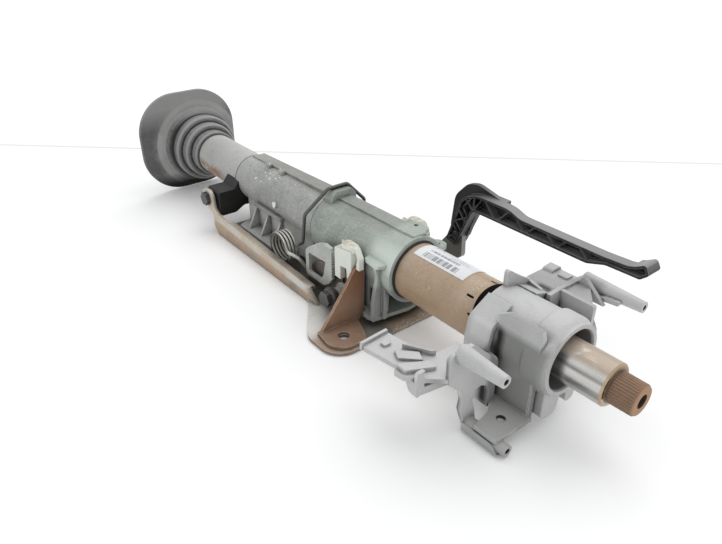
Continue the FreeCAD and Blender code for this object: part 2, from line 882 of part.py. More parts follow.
def inner_tube():
    # thin tube with a few short slits near its front end, as (angle from the top, distance from the housing)
    body = tube(inner_tube_rear_x, housing_socket_x - 1, inner_tube_r, inner_tube_r - inner_tube_wall)
    top = axis_height + inner_tube_r
    slots = []
    for angle, back in ((-8, 9), (42, 14), (70, 6)):
        for turn in (0, 180):
            x = tube_end_x - back
            shape = rectangle(x - slit_length / 2, -0.9, x + slit_length / 2, 0.9, 0.8)
            slot = prism_z(shape, top - 4, top + 2)
            slot.rotate(V(0, 0, axis_height), V(1, 0, 0), angle + turn)
            slots.append(slot)
    return body.cut(slots)


def label():
    outer = inner_tube_r + press_gap + label_thickness
    ring = tube(0, label_length, outer, inner_tube_r + press_gap)
    wedge = prism_x([(0, axis_height), (-60 * tan(radians(label_angle / 2)), axis_height + 60),
                     (60 * tan(radians(label_angle / 2)), axis_height + 60)], -1, label_length + 1)
    piece = ring.common(wedge)
    piece.translate(V(mouth_x + 7.3, 0, 0))
    piece.rotate(V(0, 0, axis_height), V(1, 0, 0), -6)
    return piece


# Lock housing

def housing_barrel():
    profile = [
        (housing_rear_x, 0),
        (housing_rear_x, housing_rear_r),
        (head_x - 1, housing_rear_r),
        (head_x + 1, housing_barrel_r + 0.6, 1.2),
        (bore_mouth_x - 6, housing_barrel_r + 0.4, 5),
        (bore_mouth_x - 2, housing_mouth_r, 2),
        (bore_mouth_x, housing_mouth_r),
        (bore_mouth_x, 0),
    ]
    return turned(profile)


def housing_bore():
    shelf = bearing_seat_r + 5
    profile = [
        (housing_rear_x - 1, 0),
        (housing_rear_x - 1, inner_tube_r + 2.0),
        (housing_rear_x + 1, inner_tube_r + 2.0),
        (housing_rear_x + 8, inner_tube_r + press_gap),
        (housing_socket_x, inner_tube_r + press_gap),
        (housing_socket_x, shelf),
        (bearing_rear_x, shelf),
        (bearing_rear_x, bore_r),
        (bore_mouth_x - 1.5, bore_r),
        (bore_mouth_x + 1, bore_r + 1.5),
        (bore_mouth_x + 1, 0),
    ]
    return turned(profile)


def from_axis(points):
    # outline whose heights are measured from the column axis
    return [(p[0], p[1] + axis_height) + tuple(p[2:]) for p in points]


def rear_flange():
    # upright tab and far cheek behind the barrel
    face = from_axis([(1, 20), (1, 43, 2), (12, 35, 3), (31, 23, 4), (36, 2, 6), (20, -8)])
    plate = prism_x(face, housing_rear_x, housing_rear_x + housing_flange_thickness)
    web = prism_y(from_axis([(housing_rear_x, 0), (housing_rear_x, 26, 2), (pocket_front_x - 5, 22, 3),
                             (pocket_front_x - 1, 0)]), 26, 28.5)
    roof = from_axis([(14, 26), (33, 19, 8), (37, 2, 4), (37, -14), (34, -14), (34, 1, 3),
                      (31, 16, 6), (14, 22)])
    return joined([plate, web, prism_x(roof, housing_rear_x, pocket_front_x - 1)])


def near_side():
    # open pocket beside the barrel: shroud, side wall, lower plate and the frame that carries the bosses
    wall = housing_wall
    outer = -pocket_reach
    inner = outer + wall
    low = -lower_plate_drop
    shroud = prism_x(from_axis([(-14, 28), (-33, 17, 8), (outer, 0, 4), (outer, low), (inner, low),
                                (inner, 0, 3), (-30, 14, 6), (-14, 24)]), housing_rear_x, pocket_front_x)
    cheek = prism_y(from_axis([(120, low), (120, -2, 4), (frame_x, -4, 4), (frame_x, low)]), outer - 3, inner)
    side = prism_y(from_axis([(126, low), (126, 25, 3), (136, 31, 3), (164, 31, 2), (166, 24, 3), (162, 6, 8),
                              (162, low)]), -27.5, -27.5 + wall)
    plate_z = axis_height - lower_plate_drop
    plate = prism_z([(120, -26), (120, outer), (frame_x, outer - 1, 3), (143, -46, 8), (145, -57, 3),
                     (146, -63), (166, -63, 3), (166, -26)], plate_z, plate_z + wall)
    hole = rod_z(plate_z - 1, plate_z + wall + 1, lower_plate_hole_r, lower_plate_hole_x, lower_plate_hole_y)
    foot = prism_y(from_axis([(frame_x - 1, low - 7.5), (frame_x - 1, low - 1), (bore_mouth_x - 10, low - 1),
                              (bore_mouth_x - 4, low - 7.5)]), -low_boss_y - 6, -low_boss_y + 2)
    rim = prism_x(from_axis([(-27, low - 1), (-27, 30), (-22, 26), (-22, low - 1)]), 159.5, 163)
    return joined([shroud, cheek, side, plate.cut(hole), boss_frame(), foot, rim])


def boss_frame():
    # open band between the upper and the lower boss of the near side
    band = [(-82, 20, 5), (-81, -4, 5), (-70, -12, 8), (-67, -24, 10), (-68, -32, 10), (-61, -52, 5),
            (-50, -53, 4), (-53, -38, 12), (-56, -30, 10), (-54, -17, 6), (-41, -24, 6), (-pocket_reach, -42),
            (-pocket_reach, -2, 3), (-60, 20, 6)]
    return prism_x(from_axis(band), frame_x - housing_wall, frame_x)


def switch_boss(side, x0, x1):
    # long round boss for a screw of the switches
    start = V(x0, side * boss_y, axis_height + boss_rise)
    return Part.makeCone(boss_r + 1.2, boss_tip_r, x1 - x0, start, V(1, 0, 0))


def low_boss():
    start = V(frame_x, -low_boss_y, axis_height - low_boss_drop)
    return Part.makeCone(boss_tip_r + 0.8, boss_tip_r, bore_mouth_x - frame_x, start, V(1, 0, 0))


def boss_hole(y, rise, mouth):
    depth = boss_hole_depth + mouth - bore_mouth_x
    return rod_x(mouth - depth, mouth + 1, boss_hole_r, y, axis_height + rise)


def switch_arm():
    # platform that reaches back beside the column, with its rim, fin and clips
    low = axis_height - arm_drop
    top = low + housing_wall
    deck = prism_z([(70.5, -78.5, 2), (72, -103.5, 3), (89, -100.5), (103, -98.5), (107, -103.5, 2),
                    (115, -102.5, 2), (122, -96), (frame_x - 1, -82, 3), (frame_x - 1, -47.5), (110, -47.5),
                    (110, -70, 4), (92, -75.5, 4)], low, top)
    rim = prism_z([(69, -78.5), (70.5, -103.5), (73, -103.5), (71.5, -78.5)], low, top + 2.5)
    fin = prism_z([(92, -83), (93.5, -81), (112, -70), (110.5, -72.5)], top - 1, top + 4)
    block = prism_z(rectangle(79, -92, 84, -86, 1), top - 1, top + 2)
    tray = prism_z([(92, -90), (100, -94), (112, -82), (104, -78)], top - 0.5, top + 2.2)
    ledge = prism_z([(104, -100, 1), (114, -100, 1), (124, -80, 1), (116, -80, 1)], top - 0.5, top + 3)
    hook = prism_x(from_axis([(-99, 7.5, 2), (-99, -11, 1.5), (-93, -12), (-70, -16), (-69, -10), (-92, -6),
                              (-94, 6), (-92, 7.5)]), 122, 125)
    post = prism_y(from_axis([(112, -1), (117, -11, 2), (125, -12), (125, -1)]), -99, -96.5)
    stay = prism_y(from_axis([(113, -1), (118, -16, 2), (frame_x - 1, -12), (frame_x - 1, -1)]), -72, -69)
    return joined([deck, rim, fin, block, tray, ledge, hook, post, stay])


def far_side():
    # open box beside the barrel, and the curved arm to the far boss
    wall = housing_wall
    inner = prism_y(from_axis([(127, -20), (127, 23.5, 2), (161, 23, 2), (161, -14)]),
                    far_wall_y, far_wall_y + wall)
    floor = prism_z([(124, 22), (124, 66, 4), (150, 58, 4), (162, 45, 4), (162, 22)],
                    axis_height - 4, axis_height - 4 + wall)
    rear = prism_x(from_axis([(24, -6), (24, 23), (37, 24), (66, 23, 3), (74, 18, 3), (76, 8, 4),
                              (60, -8, 4)]), 129, 129 + wall)
    shell = [(32, -6), (34.5, 4, 6), (44, 14.5, 8), (76, 14.5, 2), (76, 11), (46, 11, 6), (38, 2, 5),
             (36, -6)]
    arm = prism_x(from_axis(shell), 95.5, 130)
    gable = prism_y(from_axis([(127, 12), (136, 29, 2), (141, 25, 2), (156, 12)]), 57, 57 + wall)
    slope = prism_z([(127, far_wall_y), (161, far_wall_y), (141, 60), (127, 60)],
                    axis_height + 19, axis_height + 21.5)
    brace = prism_y(from_axis([(120, 3), (135, 6), (153, 13.5), (165, 15), (165, 18), (153, 17), (135, 10),
                               (120, 7)]), 61, 65)
    lug = prism_x(from_axis([(62, 13), (64, 16.5, 3), (75, 17.5, 3), (76, 13)]), 96, 105)
    stop = prism_z(rectangle(110, 64, 119, 72, 1), axis_height + 13, axis_height + 16)
    fin = prism_y(from_axis([(127, 14), (150, 16), (150, 22), (127, 20)]), 69, 72)
    return joined([inner, floor, rear, arm, gable, slope, brace, lug, stop, fin])


def lower_lugs():
    # stops under the mouth of the barrel
    lugs = [prism_x(from_axis([(-20, -20), (-21, -46, 8), (-3, -48, 8), (0, -24)]), 154, 169),
            prism_x(from_axis([(6, -24), (8, -45, 4), (17, -43, 4), (18, -22)]), 158, 169)]
    return Part.makeCompound(lugs)


def lock_housing():
    parts = [housing_barrel(), rear_flange(), near_side(), switch_arm(), far_side(), lower_lugs(),
             switch_boss(-1, frame_x - 1, bore_mouth_x), switch_boss(1, 130, far_boss_x), low_boss()]
    cuts = [housing_bore(), boss_hole(-boss_y, boss_rise, bore_mouth_x),
            boss_hole(boss_y, boss_rise, far_boss_x), boss_hole(-low_boss_y, -low_boss_drop, bore_mouth_x)]
    return joined(parts).cut(cuts)


# Head bearing

bearing_front_x = bearing_rear_x + bearing_width
bearing_mid_x = bearing_rear_x + bearing_width / 2
ball_path_r = (inner_race_r + outer_race_inner_r) / 2


def ball_groove():
    return Part.makeTorus(ball_path_r, ball_r + run_gap, V(bearing_mid_x, 0, axis_height), V(1, 0, 0))


def bearing_outer():
    return tube(bearing_rear_x, bearing_front_x, bore_r - press_gap, outer_race_inner_r).cut(ball_groove())


def bearing_inner():
    body = tube(bearing_rear_x, bearing_front_x, inner_race_r, bearing_seat_r + press_gap)
    return body.cut(ball_groove())


def bearing_balls():
    balls = []
    for i in range(ball_count):
        angle = 2 * pi * i / ball_count
        centre = V(bearing_mid_x, ball_path_r * cos(angle), axis_height + ball_path_r * sin(angle))
        balls.append(Part.makeSphere(ball_r, centre))
    return Part.makeCompound(balls)


def snap_ring():
    # split ring in front of the outer race
    ring = tube(bearing_front_x + 0.05, bearing_front_x + snap_ring_width, bore_r - press_gap, bore_r - 3.0)
    gap = prism_x(rectangle(-4, axis_height - 30, 4, axis_height), bearing_front_x - 1, bearing_front_x + 4)
    return ring.cut(gap)


def shaft_bush():
    # plastic bush that centres the rear of the upper shaft in the inner tube
    x = inner_tube_rear_x + 3
    outer = inner_tube_r - inner_tube_wall - press_gap
    rim = tube(x, x + 3, outer, upper_rear_r + run_gap)
    hub = tube(x, x + 16, upper_rear_r + 3.5, upper_rear_r + run_gap)
    return joined([rim, hub, tube(x + 13, x + 16, outer, upper_rear_r + run_gap)])


# Shafts

def double_d(radius, flat, x0, x1):
    rod = rod_x(x0, x1, radius)
    block = prism_x(rectangle(-radius - 1, axis_height - flat, radius + 1, axis_height + flat), x0, x1)
    return rod.common(block)


def toothed_rod(x0, x1, tip_r, root_r, count):
    points = []
    for i in range(count):
        for share, radius in ((0.0, tip_r), (0.5, root_r)):
            angle = 2 * pi * (i + share) / count
            points.append((radius * cos(angle), axis_height + radius * sin(angle)))
    return prism_x(points, x0, x1)


def upper_shaft():
    profile = [
        (upper_rear_x - 7, 0),
        (upper_rear_x - 7, upper_rear_r),
        (upper_rear_x + 22, upper_rear_r),
        (upper_rear_x + 26, upper_neck_r),
        (118, upper_neck_r),
        (124, bearing_seat_r),
        (sleeve_rear_x, bearing_seat_r),
        (sleeve_rear_x, sleeve_r),
        (sleeve_end_x - 1.2, sleeve_r),
        (sleeve_end_x, sleeve_r - 1.2),
        (sleeve_end_x, spline_root_r - 0.3),
        (sleeve_end_x + 2, spline_root_r - 0.3),
        (sleeve_end_x + 2, 0),
    ]
    spline = toothed_rod(sleeve_end_x + 1.5, spline_end_x, spline_r, spline_root_r, spline_count)
    cone = turned([(sleeve_end_x, 0), (sleeve_end_x, spline_r),
                   (spline_end_x - 1.5, spline_r - spline_taper * 0.5), (spline_end_x, spline_r - 1.4),
                   (spline_end_x, 0)])
    body = joined([turned(profile), spline.common(cone)])
    bore = double_d(lower_shaft_r + run_gap * 2, lower_flat + run_gap * 2, upper_rear_x - 8,
                    lower_shaft_front_x + telescope_in + 6)
    hole = rod_x(spline_end_x - wheel_hole_depth, spline_end_x + 1, wheel_hole_r)
    return body.cut([bore, hole])


def lower_shaft():
    rod = double_d(lower_shaft_r, lower_flat, lower_bearing_x + lower_bearing_width - 1, lower_shaft_front_x)
    stub_start = lower_shaft_rear_x + stub_length
    profile = [
        (stub_start - 1, 0),
        (stub_start - 1, stub_root_r),
        (stub_start + 2, lower_journal_r + 1.5),
        (lower_bearing_x - 1, lower_journal_r + 1.5),
        (lower_bearing_x - 1, lower_journal_r),
        (lower_bearing_x + lower_bearing_width + 2, lower_journal_r),
        (lower_bearing_x + lower_bearing_width + 6, lower_shaft_r),
        (lower_bearing_x + lower_bearing_width + 6, 0),
    ]
    stub = toothed_rod(lower_shaft_rear_x, stub_start, stub_r, stub_root_r, stub_teeth)
    cone = turned([(lower_shaft_rear_x, 0), (lower_shaft_rear_x, stub_root_r),
                   (lower_shaft_rear_x + 1.5, stub_r + 0.1), (stub_start, stub_r + 0.1), (stub_start, 0)])
    return joined([rod, turned(profile), stub.common(cone)])


def lower_bearing():
    # sealed bearing in the rear end of the lower tube
    x0 = lower_bearing_x
    x1 = x0 + lower_bearing_width
    outer_r = lower_tube_r - lower_tube_wall - press_gap
    outer = tube(x0, x1, outer_r, outer_r - 3.5)
    shield = tube(x0 + 1, x1 - 1, outer_r - 3.0, lower_journal_r + 3.2 + run_gap)
    return joined([outer, shield])


def lower_bearing_inner():
    x0 = lower_bearing_x
    return tube(x0, x0 + lower_bearing_width, lower_journal_r + 3.2 - run_gap, lower_journal_r + press_gap)


# Tilt lever

strap_y = lever_near_y + beam_depth - lever_web - strap_thickness + 1.0


def lever_outline():
    # (x, z) outline of the moulded lever, from the strap up round the elbow and out along the beam
    return [
        (-8.5, 55.5), (7, 102, 16), (24, 108, 20), (58, 108, 30), (70, 103.5, 20), (146, 103, 40),
        (168, 104, 20), (178, 110, 2.5), (182, 103, 2.5), (176, 97.5, 3), (149, 97, 12), (134, 92, 12),
        (20, 92.5, 5), (3.5, 52.5),
    ]


def elbow_hood():
    # wider back of the elbow
    points = [(-12, 64, 3), (-9, 96, 18), (5, 111, 14), (16, 114, 18), (32, 110.5, 20), (57, 104.5, 4),
              (50, 95, 4), (20, 94, 4), (9, 60, 3)]
    return prism_y(points, lever_near_y + beam_depth - 1, lever_near_y + beam_depth + 3)


def inset_outline(amount):
    face = Part.Face(outline(lever_outline(), lambda p: V(p.x, 0, p.y)))
    return face.makeOffset2D(-amount)


def tilt_lever():
    y0 = lever_near_y
    y1 = y0 + beam_depth
    body = prism_y(lever_outline(), y0, y0 + lever_depth)
    beam_back = prism_y(rectangle(48, 80, 168, 120), y1, y0 + lever_depth + 1)
    body = joined([body.cut(beam_back), elbow_hood()])
    pocket = inset_outline(lever_wall)
    pocket.translate(V(0, y0 - 1, 0))
    pocket = pocket.extrude(V(0, beam_depth - lever_web + 1, 0))
    ribs = lever_ribs(y0 + 0.8, y1 - 1)
    keep = pocket.cut(ribs)
    body = body.cut(keep)
    grip = strap_shape(side_gap * 0.1, strap_y - 0.03, strap_y + strap_thickness + 0.03)
    return body.cut(grip)


def lever_ribs(y0, y1):
    # zigzag bracing inside the lever
    low = [(-6, 58), (10, 66), (0, 76), (14, 84), (8, 92), (20, 108)]
    zig = []
    stations = [30 + i * 15 for i in range(8)]
    for i, x in enumerate(stations):
        zig.append((x, 91 if i % 2 else 108))
    points = low + [(20, 93)] + zig
    bars = []
    for a, b in zip(points[:-1], points[1:]):
        bars.append(bar_between(a, b, lever_rib, y0, y1))
    for a, b in (((9, 60), (-3, 72)), ((14, 76), (3, 88)), ((6, 104), (20, 92))):
        bars.append(bar_between(a, b, lever_rib, y0, y1))
    return joined(bars)


def bar_between(a, b, width, y0, y1):
    dx = b[0] - a[0]
    dz = b[1] - a[1]
    length = hypot(dx, dz)
    nx = -dz / length * width / 2
    nz = dx / length * width / 2
    return prism_y([(a[0] + nx, a[1] + nz), (b[0] + nx, b[1] + nz), (b[0] - nx, b[1] - nz),
                    (a[0] - nx, a[1] - nz)], y0, y1)


def strap_shape(grow, y0, y1):
    # steel strap from the clamp bolt up into the lever
    g = grow
    hub = rod_y(y0, y1, lever_hub_r + g, clamp_x, clamp_z)
    arm = prism_y([(clamp_x - 3, clamp_z + lever_hub_r - 1 + g), (-20, 44, 14), (-5 - g, 64 + g, 3),
                   (8 + g, 64 + g, 3), (9 + g, 41, 6), (-8, 32, 14), (-26, 26.5, 4),
                   (clamp_x + 9, clamp_z - 4 - g)], y0, y1)
    return joined([hub, arm])


def lever_strap():
    y0 = strap_y
    y1 = y0 + strap_thickness
    return strap_shape(0, y0, y1).cut(rod_y(y0 - 1, y1 + 1, clamp_bolt_r + run_gap, clamp_x, clamp_z))


def cam_discs():
    # fixed and turning cams between the far ear and the strap
    y0 = ear_outer_y + side_gap
    split = lever_near_y - 1
    fixed = rod_y(y0, y0 + 4, washer_r, clamp_x, clamp_z)
    fixed = joined([fixed, rod_y(y0 + 3, split - 4, 7.5, clamp_x, clamp_z)])
    turning = rod_y(split - 4 + side_gap, strap_y - 0.05, 8.5, clamp_x, clamp_z)
    fixed = fixed.cut(rod_y(y0 - 1, strap_y, clamp_bolt_r + press_gap, clamp_x, clamp_z))
    turning = turning.cut(rod_y(y0, strap_y + 1, clamp_bolt_r + run_gap, clamp_x, clamp_z))
    return fixed, turning


def lever_nut():
    y0 = strap_y + strap_thickness + side_gap
    nut = hexagon_y(clamp_head_flats, y0, y0 + 6.5, clamp_x, clamp_z)
    return nut.cut(rod_y(y0 - 1, y0 + 8, clamp_bolt_r + press_gap, clamp_x, clamp_z))


def build():
    ear = left_ear()
    plate = tooth_plate()
    bolt = pivot_bolt()
    bush = pivot_bush()
    fixed_cam, turning_cam = cam_discs()
    nodes = {
        "base_channel": base_channel(),
        "left_ear": ear,
        "right_ear": mirrored(ear),
        "left_bumper": bumper(near_post_z),
        "right_bumper": mirrored(bumper(far_post_z)),
        "left_tooth_plate": plate,
        "right_tooth_plate": mirrored(plate),
        "pivot_bolts": both_sides(bolt),
        "pivot_bushes": both_sides(bush),
        "pivot_yoke": pivot_yoke(),
        "jacket_casting": jacket_casting(),
        "lower_tube": lower_tube(),
        "jacket_screws": jacket_screws(),
        "guide_bushes": guide_bushes(),
        "mouth_seal": mouth_seal(),
        "boot": boot(),
        "clamp_bolt": clamp_bolt(),
        "clamp_washers": clamp_washers(),
        "clamp_spacer": clamp_spacer(),
        "fixed_cam": fixed_cam,
        "lever_nut": lever_nut(),
        "tilt_spring": tilt_spring(),
        "lower_bearing": lower_bearing(),
        "lower_bearing_inner": lower_bearing_inner(),
        "inner_tube": inner_tube(),
        "label": label(),
        "lock_housing": lock_housing(),
        "bearing_outer": bearing_outer(),
        "bearing_balls": bearing_balls(),
        "bearing_inner": bearing_inner(),
        "snap_ring": snap_ring(),
        "shaft_bush": shaft_bush(),
        "upper_shaft": upper_shaft(),
        "lower_shaft": lower_shaft(),
        "tilt_lever": tilt_lever(),
        "lever_strap": lever_strap(),
        "turning_cam": turning_cam,
    }
    for name, shape in nodes.items():
        save(name, shape)
        box = shape.BoundBox
        print("%-20s solids %2d valid %s  x %7.1f %7.1f  y %6.1f %6.1f  z %6.1f %6.1f" % (
            name, len(shape.Solids), shape.isValid(), box.XMin, box.XMax, box.YMin, box.YMax,
            box.ZMin, box.ZMax))


build()
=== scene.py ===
import json
import math

import bpy
from mathutils import Matrix, Vector


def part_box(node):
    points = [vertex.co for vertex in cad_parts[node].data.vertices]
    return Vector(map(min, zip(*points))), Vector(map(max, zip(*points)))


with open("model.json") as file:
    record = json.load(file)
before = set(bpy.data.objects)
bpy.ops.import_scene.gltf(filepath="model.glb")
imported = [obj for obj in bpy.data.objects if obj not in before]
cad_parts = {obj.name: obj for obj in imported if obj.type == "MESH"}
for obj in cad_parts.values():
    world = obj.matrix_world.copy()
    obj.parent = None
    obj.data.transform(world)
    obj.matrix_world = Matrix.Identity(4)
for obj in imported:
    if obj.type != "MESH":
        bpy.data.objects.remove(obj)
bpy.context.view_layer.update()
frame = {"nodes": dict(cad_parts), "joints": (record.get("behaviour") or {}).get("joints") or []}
nodes = frame["nodes"]
joints = {joint["name"]: joint for joint in frame["joints"]}
columnAxis = joints["steer"]["pos_m"][2]  # height of the column's axis above the mounting face
print("stage: frame loaded,", len(nodes), "nodes")


# What every finish starts from; a piece's look names what differs. A noise is its detail,
# roughness and distortion. Cleaner edges and corners take more samples, and longer.

plainLook = {
    "patchScale": 22, "patchNoise": (5.0, 0.62, 0.3), "patchRange": (0.38, 0.62),
    "stainScale": 70, "stainNoise": (6.0, 0.7, 0.8), "stainRange": (0.56, 0.68), "stainShare": 0.6,
    "grain": 0.15, "grainScale": 900, "grainNoise": (3.0, 0.7), "grainRange": (0.3, 0.7),
    "speckScale": 260, "speckSize": 0.22, "speckCloudScale": 60, "speckCloudDetail": 3.0,
    # the crevice keys below set painted shade, with some grime, in corners and in tight creases
    "speckRange": (0.42, 0.66), "dirtAndShadeReach": 0.012, "dirtAndShadeRange": (0.2, 0.85), "dirtAndShadeShare": 0.6,
    "lineRange": (0.35, 0.80), "lineShare": 0.8,
    "edgeReach": 0.0009, "edgeGain": 6.0, "edgeScale": 160, "edgeRange": (0.35, 0.6), "edgeShare": 0.8,
    "rough": (0.45, 0.6), "roughRange": (0.3, 0.7), "metal": 0.0, "ior": 1.45, "gloss": 0.5,
    "bump": 0.3, "bumpDepth": 0.0002, "bumpScale": 700, "bumpNoise": (4.0, 0.65), "lumpDetail": 3.0,
    "lumpHeight": 2.0, "rounding": 0.0006, "samples": 6,
}


# Short names for building one material's nodes

class Tree:
    def __init__(self, name):
        self.mat = bpy.data.materials.new(name)
        self.mat.use_nodes = True
        self.nodes = self.mat.node_tree.nodes
        self.links = self.mat.node_tree.links
        self.nodes.clear()
        out = self.add("ShaderNodeOutputMaterial")
        self.shader = self.add("ShaderNodeBsdfPrincipled")
        self.links.new(self.shader.outputs[0], out.inputs["Surface"])
        coordinates = self.add("ShaderNodeTexCoord")
        self.place = coordinates.outputs["Object"]
        self.normal = coordinates.outputs["Normal"]
        self.measures = {}

    def add(self, kind, **props):
        node = self.nodes.new(kind)
        for key, value in props.items():
            setattr(node, key, value)
        return node

    def put(self, socket, value):
        if isinstance(value, bpy.types.NodeSocket):
            self.links.new(value, socket)
        elif isinstance(value, (tuple, list)) and len(value) == 3 and socket.type == "RGBA":
            socket.default_value = (*value, 1.0)
        else:
            socket.default_value = value

    def math(self, op, a, b=0.0, c=0.0, clamp=False):
        node = self.add("ShaderNodeMath", operation=op, use_clamp=clamp)
        for socket, value in zip(node.inputs, (a, b, c)):
            self.put(socket, value)
        return node.outputs[0]

    def times(self, *shares):
        product = shares[0]
        for share in shares[1:]:
            product = self.math("MULTIPLY", product, share)
        return product

    def mix(self, share, a, b, blend="MIX"):  # the node's sockets 6, 7 and 2 are those for colours
        node = self.add("ShaderNodeMix", data_type="RGBA", blend_type=blend)
        self.put(node.inputs[0], share)
        self.put(node.inputs[6], a)
        self.put(node.inputs[7], b)
        return node.outputs[2]

    def ramp(self, value, low, high, outLow=0.0, outHigh=1.0):
        node = self.add("ShaderNodeMapRange")
        for socket, number in zip(node.inputs, (value, low, high, outLow, outHigh)):
            self.put(socket, number)
        return node.outputs[0]

    def band(self, value, low, high, soft):  # 1 between low and high, with soft ends
        rise = self.ramp(value, low - soft, low + soft)
        fall = self.ramp(value, high - soft, high + soft, 1.0, 0.0)
        return self.math("MULTIPLY", rise, fall)

    def noise(self, scale, detail=4.0, rough=0.6, distort=0.0, place=None):
        node = self.add("ShaderNodeTexNoise")
        self.put(node.inputs["Vector"], place or self.place)
        node.inputs["Scale"].default_value = scale
        node.inputs["Detail"].default_value = detail
        node.inputs["Roughness"].default_value = rough
        node.inputs["Distortion"].default_value = distort
        return node.outputs["Fac"]

    def stretched(self, scales):
        node = self.add("ShaderNodeMapping")
        self.put(node.inputs["Vector"], self.place)
        node.inputs["Scale"].default_value = scales
        return node.outputs[0]

    def blots(self, clouds):  # a cloudy mask, drawn out along x where it has a stretch
        place = self.stretched(clouds["stretch"]) if "stretch" in clouds else None
        distort = clouds.get("distort", 0.0)
        value = self.noise(clouds.get("scale", 1.0), clouds["detail"], clouds["rough"], distort, place)
        return self.ramp(value, *clouds["range"], *clouds.get("shares", (0.0, 1.0)))

    def flecks(self, spots):  # small round spots that gather in clouds
        cells = self.add("ShaderNodeTexVoronoi")
        self.put(cells.inputs["Vector"], self.place)
        cells.inputs["Scale"].default_value = spots["scale"]
        cloud = self.noise(spots["cloudScale"], spots["cloudDetail"])
        size = self.ramp(cloud, *spots["range"], 0.0, spots["size"])
        return self.math("LESS_THAN", cells.outputs["Distance"], size)

    def stripes(self, value, count, share):  # uneven bars along a value from 0 to 1
        step = self.math("FLOOR", self.math("MULTIPLY", value, count))
        node = self.add("ShaderNodeTexWhiteNoise", noise_dimensions="1D")
        self.put(node.inputs["W"], step)
        return self.math("LESS_THAN", node.outputs["Value"], share)

    def axes(self, socket):
        node = self.add("ShaderNodeSeparateXYZ")
        self.put(node.inputs[0], socket)
        return node.outputs

    # What a limit can be set on: x, y, z, the normal's nx, ny and nz, away from the middle plane,
    # steep for a normal across that plane, and radius and turn round the column's axis. The turn is
    # 0 on top and rises towards the near side.
    def measure(self, name):
        if not self.measures:
            self.measures.update(zip(("x", "y", "z"), self.axes(self.place)))
            self.measures.update(zip(("nx", "ny", "nz"), self.axes(self.normal)))
            self.measures["away"] = self.math("ABSOLUTE", self.measures["y"])
            self.measures["steep"] = self.math("ABSOLUTE", self.measures["ny"])
            self.measures["radius"] = self.distance({"y": 0.0, "z": columnAxis})
            nearwards = self.times(self.measures["y"], -1.0)
            upwards = self.math("SUBTRACT", self.measures["z"], columnAxis)
            self.measures["turn"] = self.math("ARCTAN2", nearwards, upwards)
        return self.measures[name]

    def distance(self, line):  # from a line through two named coordinates, along the third axis
        sides = [self.math("SUBTRACT", self.measure(name), at) for name, at in line.items()]
        return self.math("SQRT", self.math("ADD", *[self.times(side, side) for side in sides]))

    # Two numbers fade in from the first to the second, three are a band's ends and softness, and
    # four fade in over the first pair and out over the second
    def fade(self, name, span):
        value = self.measure(name)
        if len(span) == 3:
            return self.band(value, *span)
        rise = self.ramp(value, *span[:2])
        if len(span) == 2:
            return rise
        return self.times(rise, self.ramp(value, *span[2:], 1.0, 0.0))

    def within(self, limits):
        return self.times(*[self.fade(name, span) for name, span in limits.items()])

    # How much of an area's tone shows: its share, within limits, growing along a measure, and in
    # blots or flecks
    def mask(self, area, *masks):
        shares = [self.fade(name, span) for name, span in area.get("where", {}).items()]
        shares += [self.ramp(self.measure(name), *span) for name, span in area.get("grow", {}).items()]
        if "blots" in area:
            shares.append(self.blots(area["blots"]))
        if "flecks" in area:
            shares.append(self.flecks(area["flecks"]))
        return self.times(*shares, *masks, area.get("share", 1.0))

    def lay(self, colour, area, *masks):
        return self.mix(self.mask(area, *masks), colour, area["tone"], area.get("blend", "MIX"))

    def layEach(self, colour, look, *names):
        for name in names:
            colour = self.lay(colour, look[name])
        return colour

    def dull(self, share):  # takes the gloss away
        gloss = self.ramp(share, 0.0, 1.0, plainLook["gloss"], 0.0)
        self.put(self.shader.inputs["Specular IOR Level"], gloss)

    def bevel(self, reach):
        node = self.add("ShaderNodeBevel", samples=plainLook["samples"])
        node.inputs["Radius"].default_value = reach
        return node.outputs[0]

    def edges(self, reach):  # 0 on flat faces, rising at sharp edges
        geometry = self.add("ShaderNodeNewGeometry")
        dot = self.add("ShaderNodeVectorMath", operation="DOT_PRODUCT")
        self.put(dot.inputs[0], self.bevel(reach))
        self.put(dot.inputs[1], geometry.outputs["Normal"])
        return self.math("SUBTRACT", 1.0, dot.outputs["Value"])

    def crevice(self, reach, low, high, share):  # the share in deep corners, 0 on open faces
        shade = self.add("ShaderNodeAmbientOcclusion", samples=plainLook["samples"])
        shade.inputs["Distance"].default_value = reach
        return self.ramp(shade.outputs["AO"], low, high, share, 0.0)

    def finishSurface(self, height, strength, depth, rounding):
        bump = self.add("ShaderNodeBump")
        bump.inputs["Strength"].default_value = strength
        bump.inputs["Distance"].default_value = depth
        self.put(bump.inputs["Height"], height)
        self.put(bump.inputs["Normal"], self.bevel(rounding))
        self.put(self.shader.inputs["Normal"], bump.outputs[0])
